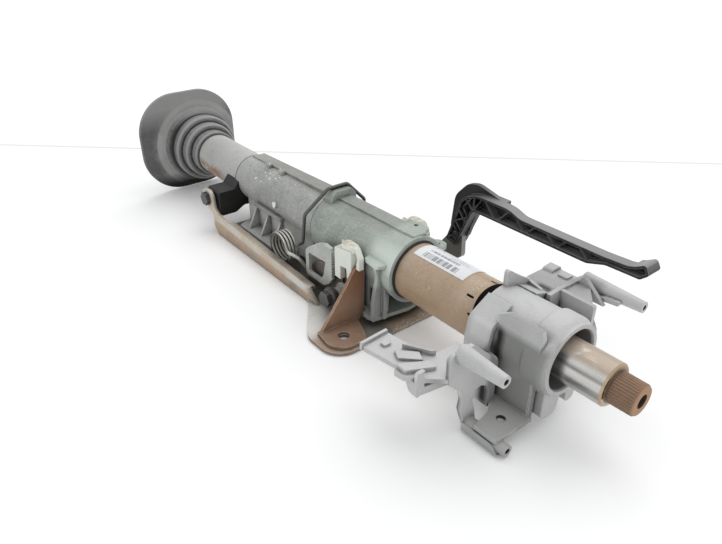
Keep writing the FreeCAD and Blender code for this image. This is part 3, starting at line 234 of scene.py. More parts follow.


# Surface with wear: two tones, stains, specks, pale edges that are partly wear and partly painted highlights,
# painted shade with some grime darkening corners and creases, and a fine bump

def surface(name, ownLook, extra=None):
    look = {**plainLook, **ownLook}
    t = Tree(name)
    wide = t.noise(look["patchScale"], *look["patchNoise"])
    colour = t.mix(t.ramp(wide, *look["patchRange"]), look["base"], look["patch"])
    if "stain" in look:
        stain = t.noise(look["stainScale"], *look["stainNoise"])
        colour = t.mix(t.ramp(stain, *look["stainRange"], 0.0, look["stainShare"]), colour, look["stain"])
    fine = t.noise(look["grainScale"], *look["grainNoise"])
    colour = t.mix(look["grain"], colour, t.ramp(fine, *look["grainRange"]), "OVERLAY")
    if "speck" in look:
        specks = {"scale": look["speckScale"], "size": look["speckSize"], "range": look["speckRange"],
                  "cloudScale": look["speckCloudScale"], "cloudDetail": look["speckCloudDetail"]}
        colour = t.mix(t.flecks(specks), colour, look["speck"])
    rough = t.ramp(wide, *look["roughRange"], *look["rough"])
    if extra:
        colour, rough = extra(t, colour, rough)
    # painted shade, with some grime, darkens the corners and recesses
    if "dirtAndShade" in look:
        share = t.crevice(look["dirtAndShadeReach"], *look["dirtAndShadeRange"], look["dirtAndShadeShare"])
        colour = t.mix(share, colour, look["dirtAndShade"])
    # thin lines of painted shade in tight creases, in the same dark colour
    if "lineReach" in look:
        share = t.crevice(look["lineReach"], *look["lineRange"], look["lineShare"])
        colour = t.mix(share, colour, look["dirtAndShade"])
    # pale edges: partly wear, partly painted highlights along sharp edges
    if "edge" in look:
        paled = t.times(t.edges(look["edgeReach"]), look["edgeGain"])
        broken = t.ramp(t.noise(look["edgeScale"]), *look["edgeRange"])
        share = t.math("MULTIPLY", paled, broken, clamp=True)
        share = t.math("MULTIPLY", share, look["edgeShare"], clamp=True)
        colour = t.mix(share, colour, look["edge"])
    t.put(t.shader.inputs["Base Color"], colour)
    t.put(t.shader.inputs["Roughness"], rough)
    t.shader.inputs["Metallic"].default_value = look["metal"]
    t.shader.inputs["IOR"].default_value = look["ior"]
    t.shader.inputs["Specular IOR Level"].default_value = look["gloss"]
    height = t.noise(look["bumpScale"], *look["bumpNoise"])
    if "lumpScale" in look:
        lumps = t.noise(look["lumpScale"], look["lumpDetail"])
        height = t.math("ADD", height, t.times(lumps, look["lumpHeight"]))
    t.finishSurface(height, look["bump"], look["bumpDepth"], look["rounding"])
    return t.mat


def paint(material, *names):
    for name in names:
        node = nodes[name]
        node.data.materials.clear()
        node.data.materials.append(material)


# Smooth shading of curved faces, with a weld so that the facets share corners

shading = {"sharpAngle": 32.0, "weldReach": 0.000002}


def soften(node):
    mesh = node.data
    if "custom_normal" in mesh.attributes:
        mesh.attributes.remove(mesh.attributes["custom_normal"])
    weld = node.modifiers.new("weld", "WELD")
    weld.merge_threshold = shading["weldReach"]
    for polygon in mesh.polygons:
        polygon.use_smooth = True
    split = node.modifiers.new("split", "EDGE_SPLIT")
    split.split_angle = math.radians(shading["sharpAngle"])
    split.use_edge_sharp = False


for node in nodes.values():
    soften(node)
print("stage: shading")


# Outer jacket: dull grey casting, a little greener towards the mouth, with paint flecks on the rear barrel,
# painted light on some faces turned to the near side, and painted shade in a recess under the collar and on
# the buttress

castDark = (0.022, 0.022, 0.021)
castStreak = (0.185, 0.175, 0.155)
jacketLook = {
    "base": (0.320, 0.325, 0.311), "patch": (0.440, 0.445, 0.426), "grain": 0.18, "grainScale": 420,
    "stain": (0.53, 0.54, 0.52), "stainScale": 55, "stainShare": 0.45,
    "speck": (0.66, 0.68, 0.64), "speckScale": 330, "speckSize": 0.20,
    "dirtAndShade": castDark, "dirtAndShadeShare": 0.62, "dirtAndShadeReach": 0.009, "dirtAndShadeRange": (0.1, 0.85),
    "lineReach": 0.0026, "edge": (0.66, 0.69, 0.66), "edgeShare": 0.7,
    "rough": (0.48, 0.64), "metal": 0.1, "bump": 0.35, "lumpScale": 90,
    "streaks": {"tone": castStreak,
                "blots": {"stretch": (22, 420, 420), "detail": 4.0, "rough": 0.65, "range": (0.60, 0.74),
                          "shares": (0.0, 0.40)}},
    "paled": {"tone": (0.50, 0.505, 0.485), "share": 0.45, "where": {"x": (-0.100, -0.108)},
             "blots": {"scale": 95, "detail": 5.0, "rough": 0.7, "distort": 1.2, "range": (0.56, 0.66)}},
    "front": {"tone": (0.93, 1.0, 0.95), "blend": "MULTIPLY", "where": {"x": (-0.112, -0.098)}},
    "collar": {"tone": (0.56, 0.63, 0.575), "where": {"x": (-0.035, 0.004), "z": (0.035, 0.045)},
               "grow": {"z": (0.083, 0.078, 0.25, 0.7)}},
    # flank: painted light, a paler tone on faces turned to the near side
    "flank": {"tone": (0.74, 0.82, 0.755), "share": 0.8,
              "where": {"x": (-0.020, -0.008), "z": (0.056, 0.064), "ny": (-0.5, -0.8)}},
    # sill: painted light, a paler tone on low faces turned to the near side
    "sill": {"tone": (0.60, 0.60, 0.58), "share": 0.8,
             "where": {"x": (-0.104, -0.110), "z": (0.040, 0.034), "ny": (-0.6, -0.85)}},
    "crown": {"tone": castStreak, "share": 0.42,
              "where": {"x": (-0.006, -0.014), "z": (0.078, 0.080), "nz": (0.85, 0.97)}},
    # recess: painted shade, a darker tone on low faces under the collar
    "recess": {"tone": (0.300, 0.310, 0.310), "share": 0.85,
               "where": {"x": (-0.036, -0.028), "z": (0.046, 0.041), "nz": (0.5, 0.2)}},
    # window: a painted dark patch of shade standing for an opening in the buttress
    "window": {"tone": castDark, "share": 0.92,
               "where": {"x": (-0.0115, -0.0030, 0.0012), "z": (0.0200, 0.0350, 0.0015),
                         "ny": (-0.6, -0.85)}},
    "step": {"tone": castDark, "share": 0.85,
             "where": {"x": (-0.1030, -0.1008, 0.0003), "radius": (0.0300, 0.0288)}},
    "parting": {"tone": castStreak, "share": 0.8,
                "where": {"x": (-0.236, -0.108, 0.004), "z": (0.0432, 0.0440, 0.0003), "ny": (-0.6, -0.8)}},
    "flecks": {"tone": (0.88, 0.89, 0.86), "where": {"x": (-0.222, -0.150, 0.008), "turn": (-0.1, 1.2, 0.2)},
               "flecks": {"scale": 230, "size": 0.25, "cloudScale": 45, "cloudDetail": 2.0,
                          "range": (0.50, 0.62)}},
    "seam": {"tone": castDark, "share": 0.92, "where": {"x": (-0.2519, -0.2525), "turn": (-0.4, -0.2)}},
}


def jacketWearAndLight(t, colour, rough):
    colour = t.layEach(colour, jacketLook, "streaks", "paled", "front", "collar", "flank", "sill", "crown")
    return t.layEach(colour, jacketLook, "recess", "window", "step", "parting", "flecks", "seam"), rough


paint(surface("jacketAlloy", jacketLook, jacketWearAndLight), "jacket_casting")

tubeShade = (0.03, 0.028, 0.025)
tubeLook = {
    "base": (0.455, 0.452, 0.435), "patch": (0.500, 0.496, 0.478), "grain": 0.12, "grainScale": 500,
    "stain": (0.36, 0.355, 0.34), "stainShare": 0.45, "speck": (0.60, 0.60, 0.57), "speckScale": 300,
    "speckSize": 0.14, "dirtAndShade": tubeShade, "dirtAndShadeShare": 0.8, "rough": (0.42, 0.55), "metal": 0.1, "bump": 0.2,
    "rust": {"tone": (0.26, 0.13, 0.055), "share": 0.9,
             "where": {"x": (-0.348, -0.285, 0.01), "turn": (1.55, 2.8, 0.15)},
             "blots": {"scale": 110, "detail": 5.0, "rough": 0.7, "range": (0.42, 0.54)}},
    # neck: a ring of painted shade where the tube meets the boot
    "neck": {"tone": tubeShade, "share": 0.9, "where": {"x": (-0.3415, -0.3435)}},
}


def tubeRustAndShade(t, colour, rough):  # a rusty patch low on the near side, and a ring of painted shade where the tube meets the boot
    return t.layEach(colour, tubeLook, "rust", "neck"), rough


paint(surface("tubeCoating", tubeLook, tubeRustAndShade), "lower_tube")
print("stage: outer jacket")


# Inner tube: tan-brown coating with pale specks, a painted black crescent of shade at its front, and its
# plain label

innerLook = {
    "base": (0.445, 0.325, 0.225), "patch": (0.535, 0.420, 0.320), "grain": 0.14,
    "stain": (0.34, 0.230, 0.145), "stainScale": 120, "stainShare": 0.45,
    "speck": (0.72, 0.63, 0.52), "speckScale": 430, "speckSize": 0.21,
    "dirtAndShade": (0.03, 0.022, 0.018), "dirtAndShadeShare": 0.8, "rough": (0.36, 0.48), "metal": 0.05, "bump": 0.2,
    "low": {"tone": (0.36, 0.235, 0.125), "share": 0.55, "where": {"turn": (0.9, 1.6)}},
    "gap": (0.010, 0.009, 0.008), "gapFront": 0.1068, "gapWidth": 0.0090, "gapWidest": 0.45,
    "gapEdge": 0.0004, "gapSides": (-1.1, 1.5, 0.05),
}


def tubeFront(t, colour, rough):  # warmer below, with a painted black crescent of shade in front of the housing, where the tube goes in
    colour = t.lay(colour, innerLook["low"])
    turned = t.math("SUBTRACT", t.measure("turn"), innerLook["gapWidest"])
    width = t.times(t.math("COSINE", turned), innerLook["gapWidth"])
    start = t.math("SUBTRACT", innerLook["gapFront"], width)
    past = t.ramp(t.math("SUBTRACT", t.measure("x"), start), 0.0, innerLook["gapEdge"])
    gap = t.times(past, t.fade("turn", innerLook["gapSides"]))
    t.dull(gap)
    return t.mix(gap, colour, innerLook["gap"]), rough


paint(surface("innerTubeCoating", innerLook, tubeFront), "inner_tube")

# The label's length lies along x, and its width round the tube. A row is from and to across it,
# from and to along it, bars in the whole length and their share of ink.

labelRear, labelFront = (corner.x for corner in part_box("label"))
labelLook = {
    "base": (0.80, 0.81, 0.83), "patch": (0.87, 0.88, 0.89), "grain": 0.04, "rough": (0.4, 0.5),
    "bump": 0.04, "rounding": 0.0002, "ink": (0.24, 0.25, 0.27), "inkShare": 0.85,
    "rowSoft": 0.004, "barSoft": 0.002, "length": (labelRear, labelFront), "width": (-0.646, 0.436),
    "rows": (
        (0.70, 0.92, 0.12, 0.82, 62, 0.55),
        (0.50, 0.61, 0.16, 0.74, 90, 0.60),
        (0.40, 0.43, 0.50, 0.86, 120, 0.6),
        (0.22, 0.27, 0.08, 0.30, 80, 0.7),
        (0.13, 0.17, 0.08, 0.24, 80, 0.7),
        (0.16, 0.20, 0.62, 0.84, 90, 0.6),
        (0.27, 0.30, 0.62, 0.80, 90, 0.6),
    ),
}


def labelBars(t, colour, rough):  # plain bars and dashes that spell nothing
    along = t.ramp(t.measure("x"), *labelLook["length"])
    across = t.ramp(t.measure("turn"), *labelLook["width"])
    for low, high, start, stop, count, share in labelLook["rows"]:
        row = t.band(across, low, high, labelLook["rowSoft"])
        run = t.band(along, start, stop, labelLook["barSoft"])
        bars = t.times(row, run, t.stripes(along, count, share), labelLook["inkShare"])
        colour = t.mix(bars, colour, labelLook["ink"])
    return colour, rough


paint(surface("labelFilm", labelLook, labelBars), "label")
print("stage: inner tube and label")


# Bracket: copper-brown coating, paler on the top faces of the wings from wear and painted light, painted
# shade on the plate inside the channel, a painted lighter front where the tube's shadow falls, tan patches
# down the flanges

bracketClouds = {"scale": 34, "detail": 5.0, "rough": 0.65, "distort": 0.5, "range": (0.40, 0.56)}
flangeSide = {"away": (0.0530, 0.0545), "x": (-0.066, -0.072)}
bracketLook = {
    "base": (0.350, 0.265, 0.200), "patch": (0.49, 0.41, 0.33), "patchScale": 14,
    "grain": 0.22, "grainScale": 450,
    "stain": (0.56, 0.52, 0.45), "stainScale": 38, "stainShare": 0.55, "stainRange": (0.50, 0.64),
    "speck": (0.75, 0.73, 0.67), "speckScale": 380, "speckSize": 0.14,
    "dirtAndShade": (0.028, 0.024, 0.021), "dirtAndShadeReach": 0.022, "dirtAndShadeShare": 0.8, "lineReach": 0.0026,
    "edge": (0.68, 0.66, 0.60), "edgeShare": 0.85, "edgeReach": 0.0012, "rough": (0.38, 0.54),
    "metal": 0.1, "bump": 0.25,
    # plate: painted shade on the plate's top inside the channel
    "plate": {"tone": (0.21, 0.215, 0.205), "share": 0.75,
              "where": {"nz": (0.7, 0.95), "away": (0.052, 0.046)}},
    "plateRear": (0.004, -0.004), "plateNear": (-0.020, -0.028),
    "tan": {"tone": (0.56, 0.40, 0.25), "share": 0.9, "where": flangeSide, "blots": bracketClouds},
    "salmon": {"tone": (0.56, 0.40, 0.32), "share": 0.8, "where": {**flangeSide, "z": (0.013, 0.009)},
               "blots": {"scale": 52, "detail": 4.0, "rough": 0.6, "distort": 0.4, "range": (0.50, 0.60)}},
    "scuffs": {"tone": (0.70, 0.68, 0.62), "where": flangeSide,
               "blots": {**bracketClouds, "shares": (1.0, 0.45)}},
    "crestHeight": 0.0095, "crestRise": 0.007, "crestRun": (-0.068, -0.240), "crestFade": (-0.0022, 0.0006),
    # wing: paler on faces that look up, from wear and painted light
    "wing": {"tone": (0.80, 0.79, 0.75), "blots": {**bracketClouds, "shares": (0.8, 1.0)},
             "where": {"nz": (0.7, 0.95), "x": (-0.075, -0.010, 0.006), "away": (0.048, 0.055)}},
    "tip": {"tone": (0.36, 0.235, 0.16), "share": 0.75,
            "where": {"away": (0.066, 0.078), "x": (-0.022, -0.012)}},
    # front: painted light, a paler tone where the plate lies in the tube's shadow
    "front": {"tone": (0.58, 0.43, 0.32),
              "where": {"x": (0.002, 0.009), "away": (0.052, 0.044), "y": (-0.026, -0.018)}},
    "flecks": {"tone": (0.80, 0.77, 0.71), "where": {"x": (0.008, 0.012), "away": (0.052, 0.044)},
               "flecks": {"scale": 420, "size": 0.38, "cloudScale": 70, "cloudDetail": 3.0,
                          "range": (0.40, 0.56)}},
}


def bracketWearAndLight(t, colour, rough):
    # painted shade on the channel's plate
    channelShade = t.math("MAXIMUM", t.fade("x", bracketLook["plateRear"]), t.fade("y", bracketLook["plateNear"]))
    colour = t.lay(colour, bracketLook["plate"], channelShade)
    colour = t.layEach(colour, bracketLook, "tan", "salmon")
    rise = t.times(t.fade("x", bracketLook["crestRun"]), bracketLook["crestRise"])
    crest = t.math("ADD", bracketLook["crestHeight"], rise)
    crestward = t.ramp(t.math("SUBTRACT", t.measure("z"), crest), *bracketLook["crestFade"])
    colour = t.lay(colour, bracketLook["scuffs"], crestward)
    return t.layEach(colour, bracketLook, "wing", "tip", "front", "flecks"), rough


paint(surface("bracketCoating", bracketLook, bracketWearAndLight), "base_channel")

gussetLook = {
    "base": (0.345, 0.205, 0.135), "patch": (0.415, 0.265, 0.185), "patchScale": 18,
    "stain": (0.50, 0.40, 0.30), "stainScale": 60, "stainShare": 0.35,
    "speck": (0.70, 0.64, 0.56), "speckScale": 420, "speckSize": 0.10,
    "dirtAndShade": (0.035, 0.022, 0.016), "dirtAndShadeShare": 0.5, "edge": (0.68, 0.60, 0.50), "edgeShare": 0.9,
    "edgeReach": 0.0012, "rough": (0.40, 0.54), "metal": 0.05, "bump": 0.18,
    "upper": {"tone": (0.72, 0.56, 0.42), "blend": "MULTIPLY", "share": 0.8, "where": {"z": (0.022, 0.046)}},
    # foot: painted shade, darker and cooler where the gusset meets the floor
    "foot": {"tone": (0.74, 0.78, 0.80), "blend": "MULTIPLY", "share": 0.8,
             "where": {"z": (0.0085, 0.0070)}},
    "wall": {"tone": (0.13, 0.13, 0.13), "share": 0.8, "where": {"x": (-0.020, -0.024)}},
}


def earWall(t, colour, rough):  # the ear's own wall is darker than its gusset
    return t.layEach(colour, gussetLook, "upper", "foot", "wall"), rough


paint(surface("gussetCoating", gussetLook, earWall), "left_ear", "right_ear")
print("stage: bracket")


# Lock housing: fine-grained grey die casting, with painted shade in the bore, the openings, the holes and the
# near pocket, and painted light on near faces of the rear flange and the far boss

housingHoleShade = (0.022, 0.022, 0.022)
housingGrey = (0.34, 0.345, 0.33)
housingPaintedLight = (0.74, 0.74, 0.73)
housingLook = {
    "base": (0.53, 0.535, 0.525), "patch": (0.590, 0.595, 0.585), "grain": 0.10,
    "stain": (0.45, 0.455, 0.445), "stainShare": 0.35, "dirtAndShade": (0.060, 0.060, 0.058), "dirtAndShadeShare": 0.60,
    "dirtAndShadeReach": 0.011, "dirtAndShadeRange": (0.1, 0.85), "lineReach": 0.0030, "edge": (0.80, 0.80, 0.79),
    "edgeShare": 0.75, "rough": (0.50, 0.64), "metal": 0.1, "bump": 0.3, "bumpScale": 900,
    "rounding": 0.0011,
    # pocket: painted shade, a darker grey in the near pocket
    "pocket": {"tone": (0.245, 0.250, 0.240), "share": 0.85,
               "where": {"x": (0.1285, 0.1700, 0.002), "y": (-0.0420, -0.0200, 0.002), "z": (0.074, 0.068),
                         "nz": (0.75, 0.45)}},
    # painted shade: black patches standing for openings
    "hollowShade": housingHoleShade, "hollowShare": 0.9,
    "hollows": (
        {"x": (0.1270, 0.1345, 0.0025), "z": (0.043, 0.070, 0.003), "ny": (-0.6, -0.8)},
        {"x": (0.1270, 0.1345, 0.0025), "z": (0.010, 0.032, 0.003), "ny": (-0.6, -0.8)},
        {"x": (0.1075, 0.1200, 0.0025), "y": (0.0365, 0.0450, 0.002), "z": (0.060, 0.064)},
    ),
    "webTop": {"tone": housingGrey, "share": 0.9,
               "where": {"x": (0.1350, 0.1730, 0.002), "y": (-0.0440, -0.0170, 0.002), "z": (0.070, 0.074),
                         "nz": (0.6, 0.85)}},
    "lowPlate": {"tone": housingGrey, "share": 0.5,
                 "where": {"x": (0.134, 0.140), "y": (-0.024, -0.028), "z": (0.0150, 0.0135)}},
    # lip and farBoss: painted light, a paler tone on faces turned to the near side
    "lip": {"tone": housingPaintedLight, "share": 0.8,
            "where": {"x": (0.108, 0.112, 0.1270, 0.1300), "z": (0.054, 0.060), "ny": (-0.5, -0.8)}},
    "farBoss": {"tone": housingPaintedLight, "share": 0.8,
                "where": {"x": (0.146, 0.152), "y": (0.058, 0.062), "ny": (0.2, -0.5)}},
    # bore: painted shade inside the bore
    "bore": {"tone": (0.150, 0.150, 0.146), "where": {"radius": (0.0243, 0.0239), "x": (0.1715, 0.1700)}},
    "pinLine": {"x": 0.153, "y": -0.043}, "pinWall": (0.0037, 0.0035),
    # pinHole and bossHole: painted shade on the walls of the holes
    "pinHole": {"tone": housingHoleShade, "share": 0.95, "where": {"z": (0.0155, 0.0145)}},
    "bossLines": ({"y": -0.0705, "z": 0.072}, {"y": 0.0705, "z": 0.072}, {"y": -0.058, "z": 0.0056}),
    "bossWall": (0.0024, 0.0021), "bossHole": {"tone": housingHoleShade, "where": {"x": (0.150, 0.155)}},
}


def housingLightAndShade(t, colour, rough):  # painted shade: dark openings, bore and holes, and the grey of the near pocket; painted light on the lip and the far boss
    colour = t.lay(colour, housingLook["pocket"])
    dark = 0.0
    for limits in housingLook["hollows"]:
        dark = t.math("MAXIMUM", dark, t.within(limits))
    colour = t.mix(t.times(dark, housingLook["hollowShare"]), colour, housingLook["hollowShade"])
    t.dull(dark)
    colour = t.layEach(colour, housingLook, "webTop", "lowPlate", "lip", "farBoss", "bore")
    pin = t.ramp(t.distance(housingLook["pinLine"]), *housingLook["pinWall"])
    colour = t.lay(colour, housingLook["pinHole"], pin)
    for line in housingLook["bossLines"]:
        hole = t.ramp(t.distance(line), *housingLook["bossWall"])
        colour = t.lay(colour, housingLook["bossHole"], hole)
    return colour, rough


paint(surface("housingAlloy", housingLook, housingLightAndShade), "lock_housing")
print("stage: lock housing")


# Boot: dusty black rubber with painted shade in the crease at the root of each step, a painted highlight on
# each step's crest, a painted lighter top, painted shade along the bottom edge and a paler dish. A fold is
# its radius and the places of its crest and its root; a reach is measured from there.

bootCreaseShade = (0.018, 0.018, 0.018)
bootLook = {
    "base": (0.165, 0.165, 0.163), "patch": (0.225, 0.225, 0.222), "patchScale": 16,
    "grain": 0.22, "grainScale": 350,
    "stain": (0.31, 0.31, 0.30), "stainScale": 35, "stainShare": 0.65, "stainRange": (0.50, 0.64),
    "dirtAndShade": (0.020, 0.020, 0.020), "dirtAndShadeShare": 0.75, "dirtAndShadeReach": 0.010, "lineReach": 0.0030,
    "edge": (0.42, 0.42, 0.415), "edgeShare": 0.65, "edgeReach": 0.0020, "rough": (0.5, 0.68),
    "gloss": 0.15, "bump": 0.15,
    "dish": {"tone": (0.49, 0.49, 0.475),
             "where": {"x": (-0.388, -0.392), "radius": (0.0455, 0.0550, 0.0012)},
             "blots": {"scale": 40, "detail": 4.0, "rough": 0.6, "range": (0.35, 0.6),
                       "shares": (0.55, 0.95)}},
    "rim": {"tone": (0.115, 0.115, 0.115), "share": 0.6, "where": {"radius": (0.057, 0.062)}},
    # crown: painted light, lighter towards the top
    "crown": {"tone": (0.38, 0.38, 0.372), "share": 0.75, "where": {"z": (0.080, 0.104)}},
    # foot: painted shade along the bottom edge
    "foot": {"tone": (0.012, 0.012, 0.010), "share": 0.95,
             "where": {"z": (0.022, 0.008), "x": (-0.386, -0.390)}},
    # outermost and root: painted shade in the creases of the folds
    "outermost": {"tone": bootCreaseShade, "share": 0.75,
                  "where": {"radius": (0.0385, 0.0425, 0.0008), "x": (-0.377, -0.380), "z": (0.100, 0.080)}},
    "folds": ((0.0270, -0.345, -0.358), (0.0335, -0.358, -0.370), (0.0400, -0.370, -0.383)),
    # crest: painted highlight on each fold's crest, stronger higher up
    "crest": {"tone": (0.38, 0.38, 0.37), "grow": {"z": (0.030, 0.075, 0.4, 0.9)}},
    "crestReach": {"radius": (-0.0022, 0.0006, 0.0006), "x": (-0.0028, 0.001, 0.0006)},
    "root": {"tone": bootCreaseShade, "share": 0.9},
    "rootReach": {"radius": (-0.0012, 0.0014, 0.0004), "x": (-0.001, 0.0022, 0.0004)},
}


def foldLine(t, radius, place, reach):  # a ring on the boot, at a radius and a place along x
    ring = []
    for name, middle in (("radius", radius), ("x", place)):
        low, high, soft = reach[name]
        ring.append(t.band(t.measure(name), middle + low, middle + high, soft))
    return t.times(*ring)


def bootRings(t, colour, rough):
    colour = t.layEach(colour, bootLook, "dish", "rim", "crown", "foot", "outermost")
    for radius, crestPlace, rootPlace in bootLook["folds"]:
        colour = t.lay(colour, bootLook["crest"], foldLine(t, radius, crestPlace, bootLook["crestReach"]))
        colour = t.lay(colour, bootLook["root"], foldLine(t, radius, rootPlace, bootLook["rootReach"]))
    return colour, rough


paint(surface("bootRubber", bootLook, bootRings), "boot")
print("stage: boot")


# Tilt lever: black plastic, with a painted grey reflection on the faces that look up, on a zinc strap

leverLook = {
    "base": (0.012, 0.012, 0.013), "patch": (0.022, 0.022, 0.023), "grain": 0.08,
    "edge": (0.27, 0.27, 0.27), "edgeShare": 0.9, "edgeReach": 0.0011, "edgeScale": 90,
    "rough": (0.34, 0.46), "bump": 0.12, "rounding": 0.0008,
    # topReflection: a painted grey reflection on faces that look up, stronger further along x
    "topReflection": {"tone": (0.235, 0.235, 0.233), "where": {"nz": (0.35, 0.75)},
             "grow": {"x": (0.022, 0.052, 0.15, 1.0)}},
}


def leverReflection(t, colour, rough):
    return t.lay(colour, leverLook["topReflection"]), rough


paint(surface("leverPlastic", leverLook, leverReflection), "tilt_lever")

strapLook = {
    "base": (0.20, 0.205, 0.20), "patch": (0.28, 0.285, 0.28), "edge": (0.6, 0.61, 0.6), "rough": (0.38, 0.5),
    "dirtAndShade": (0.04, 0.04, 0.04), "metal": 0.3, "bump": 0.2,
}
paint(surface("strapSteel", strapLook), "lever_strap")
print("stage: tilt lever")


# Clamp and pivots: zinc-plated and blackened steel, and the pale plastic bumpers

zincLook = {
    "base": (0.42, 0.44, 0.41), "patch": (0.52, 0.54, 0.51), "stain": (0.30, 0.28, 0.24), "stainShare": 0.35,
    "edge": (0.78, 0.79, 0.76), "dirtAndShade": (0.04, 0.038, 0.035), "dirtAndShadeReach": 0.007, "rough": (0.34, 0.5),
    "metal": 0.2, "bump": 0.2,
}
paint(surface("zincSteel", zincLook), "left_tooth_plate", "right_tooth_plate", "clamp_spacer", "lever_nut")

screwLook = {
    "base": (0.80, 0.80, 0.78), "patch": (0.68, 0.68, 0.66), "dirtAndShade": (0.05, 0.05, 0.045), "dirtAndShadeShare": 0.7,
    "rough": (0.22, 0.34), "metal": 0.35, "bump": 0.2,
}
paint(surface("screwSteel", screwLook), "jacket_screws")

darkSteelLook = {
    "base": (0.045, 0.045, 0.047), "patch": (0.09, 0.09, 0.09), "edge": (0.5, 0.5, 0.5), "edgeShare": 0.6,
    "rough": (0.28, 0.42), "metal": 0.5, "bump": 0.15,
}
paint(surface("darkSteel", darkSteelLook), "clamp_bolt", "clamp_washers", "fixed_cam", "turning_cam",
      "snap_ring", "pivot_bolts")

yokeLook = {
    "base": (0.010, 0.010, 0.010), "patch": (0.018, 0.018, 0.017), "edge": (0.14, 0.14, 0.13),
    "edgeShare": 0.5, "dirtAndShade": (0.004, 0.004, 0.004), "rough": (0.5, 0.6), "bump": 0.15,
}
paint(surface("yokeSteel", yokeLook), "pivot_yoke")

bumperLook = {
    "base": (0.80, 0.83, 0.74), "patch": (0.85, 0.88, 0.80), "stain": (0.68, 0.68, 0.58), "stainShare": 0.25,
    "grain": 0.05, "dirtAndShade": (0.15, 0.13, 0.10), "dirtAndShadeShare": 0.3, "dirtAndShadeReach": 0.005, "rough": (0.4, 0.52),
    "bump": 0.1,
    "grime": {"tone": (0.45, 0.39, 0.30), "where": {"nz": (0.6, 0.95)},
              "blots": {"scale": 110, "detail": 4.0, "rough": 0.6, "range": (0.40, 0.58),
                        "shares": (0.2, 0.85)}},
}


def bumperGrime(t, colour, rough):
    return t.lay(colour, bumperLook["grime"]), rough


paint(surface("bumperPlastic", bumperLook, bumperGrime), "left_bumper", "right_bumper")
print("stage: clamp and pivots")


# Tilt spring: bright coils with wear and painted shade on their sides, and a dark arch painted lighter on top
# than on its sides

springShade = (0.012, 0.012, 0.012)
springLook = {
    "base": (0.60, 0.59, 0.54), "patch": (0.48, 0.47, 0.43), "patchScale": 60, "edge": (0.8, 0.8, 0.77),
    "dirtAndShade": springShade, "dirtAndShadeShare": 0.95, "dirtAndShadeReach": 0.006, "rough": (0.3, 0.45), "metal": 0.3,
    "bump": 0.1,
    # coilSides: painted shade on the sides of the coils
    "coilSides": {"tone": springShade, "share": 0.9,
                  "where": {"away": (0.029, 0.031), "x": (-0.114, -0.120), "steep": (0.45, 0.75)}},
    # arch: painted light and shade, lighter on its top faces and darker on its sides
    "arch": {"x": (-0.120, -0.114), "z": (0.030, 0.040)},
    "archTop": (0.105, 0.105, 0.102), "archSide": (0.025, 0.025, 0.025), "archTurn": (0.1, -0.3),
}


def springArch(t, colour, rough):
    colour = t.lay(colour, springLook["coilSides"])
    arch = t.mix(t.fade("nz", springLook["archTurn"]), springLook["archTop"], springLook["archSide"])
    return t.mix(t.within(springLook["arch"]), colour, arch), rough


paint(surface("springSteel", springLook, springArch), "tilt_spring")


# Bushes and seal

bushLook = {
    "base": (0.55, 0.54, 0.50), "patch": (0.62, 0.61, 0.56), "dirtAndShade": (0.1, 0.1, 0.09), "rough": (0.4, 0.5),
    "bump": 0.1,
}
paint(surface("bushPlastic", bushLook), "pivot_bushes", "guide_bushes", "shaft_bush")

rubberLook = {
    "base": (0.012, 0.011, 0.011), "patch": (0.022, 0.02, 0.02), "rough": (0.4, 0.55), "bump": 0.2,
}
paint(surface("sealRubber", rubberLook), "mouth_seal")
print("stage: spring, bushes and seal")


# Steering shaft: bright sleeve stained tan on top, with painted dark streaks and bands standing for
# reflections, rusty splined end with crossed grooves and painted shade in its hole

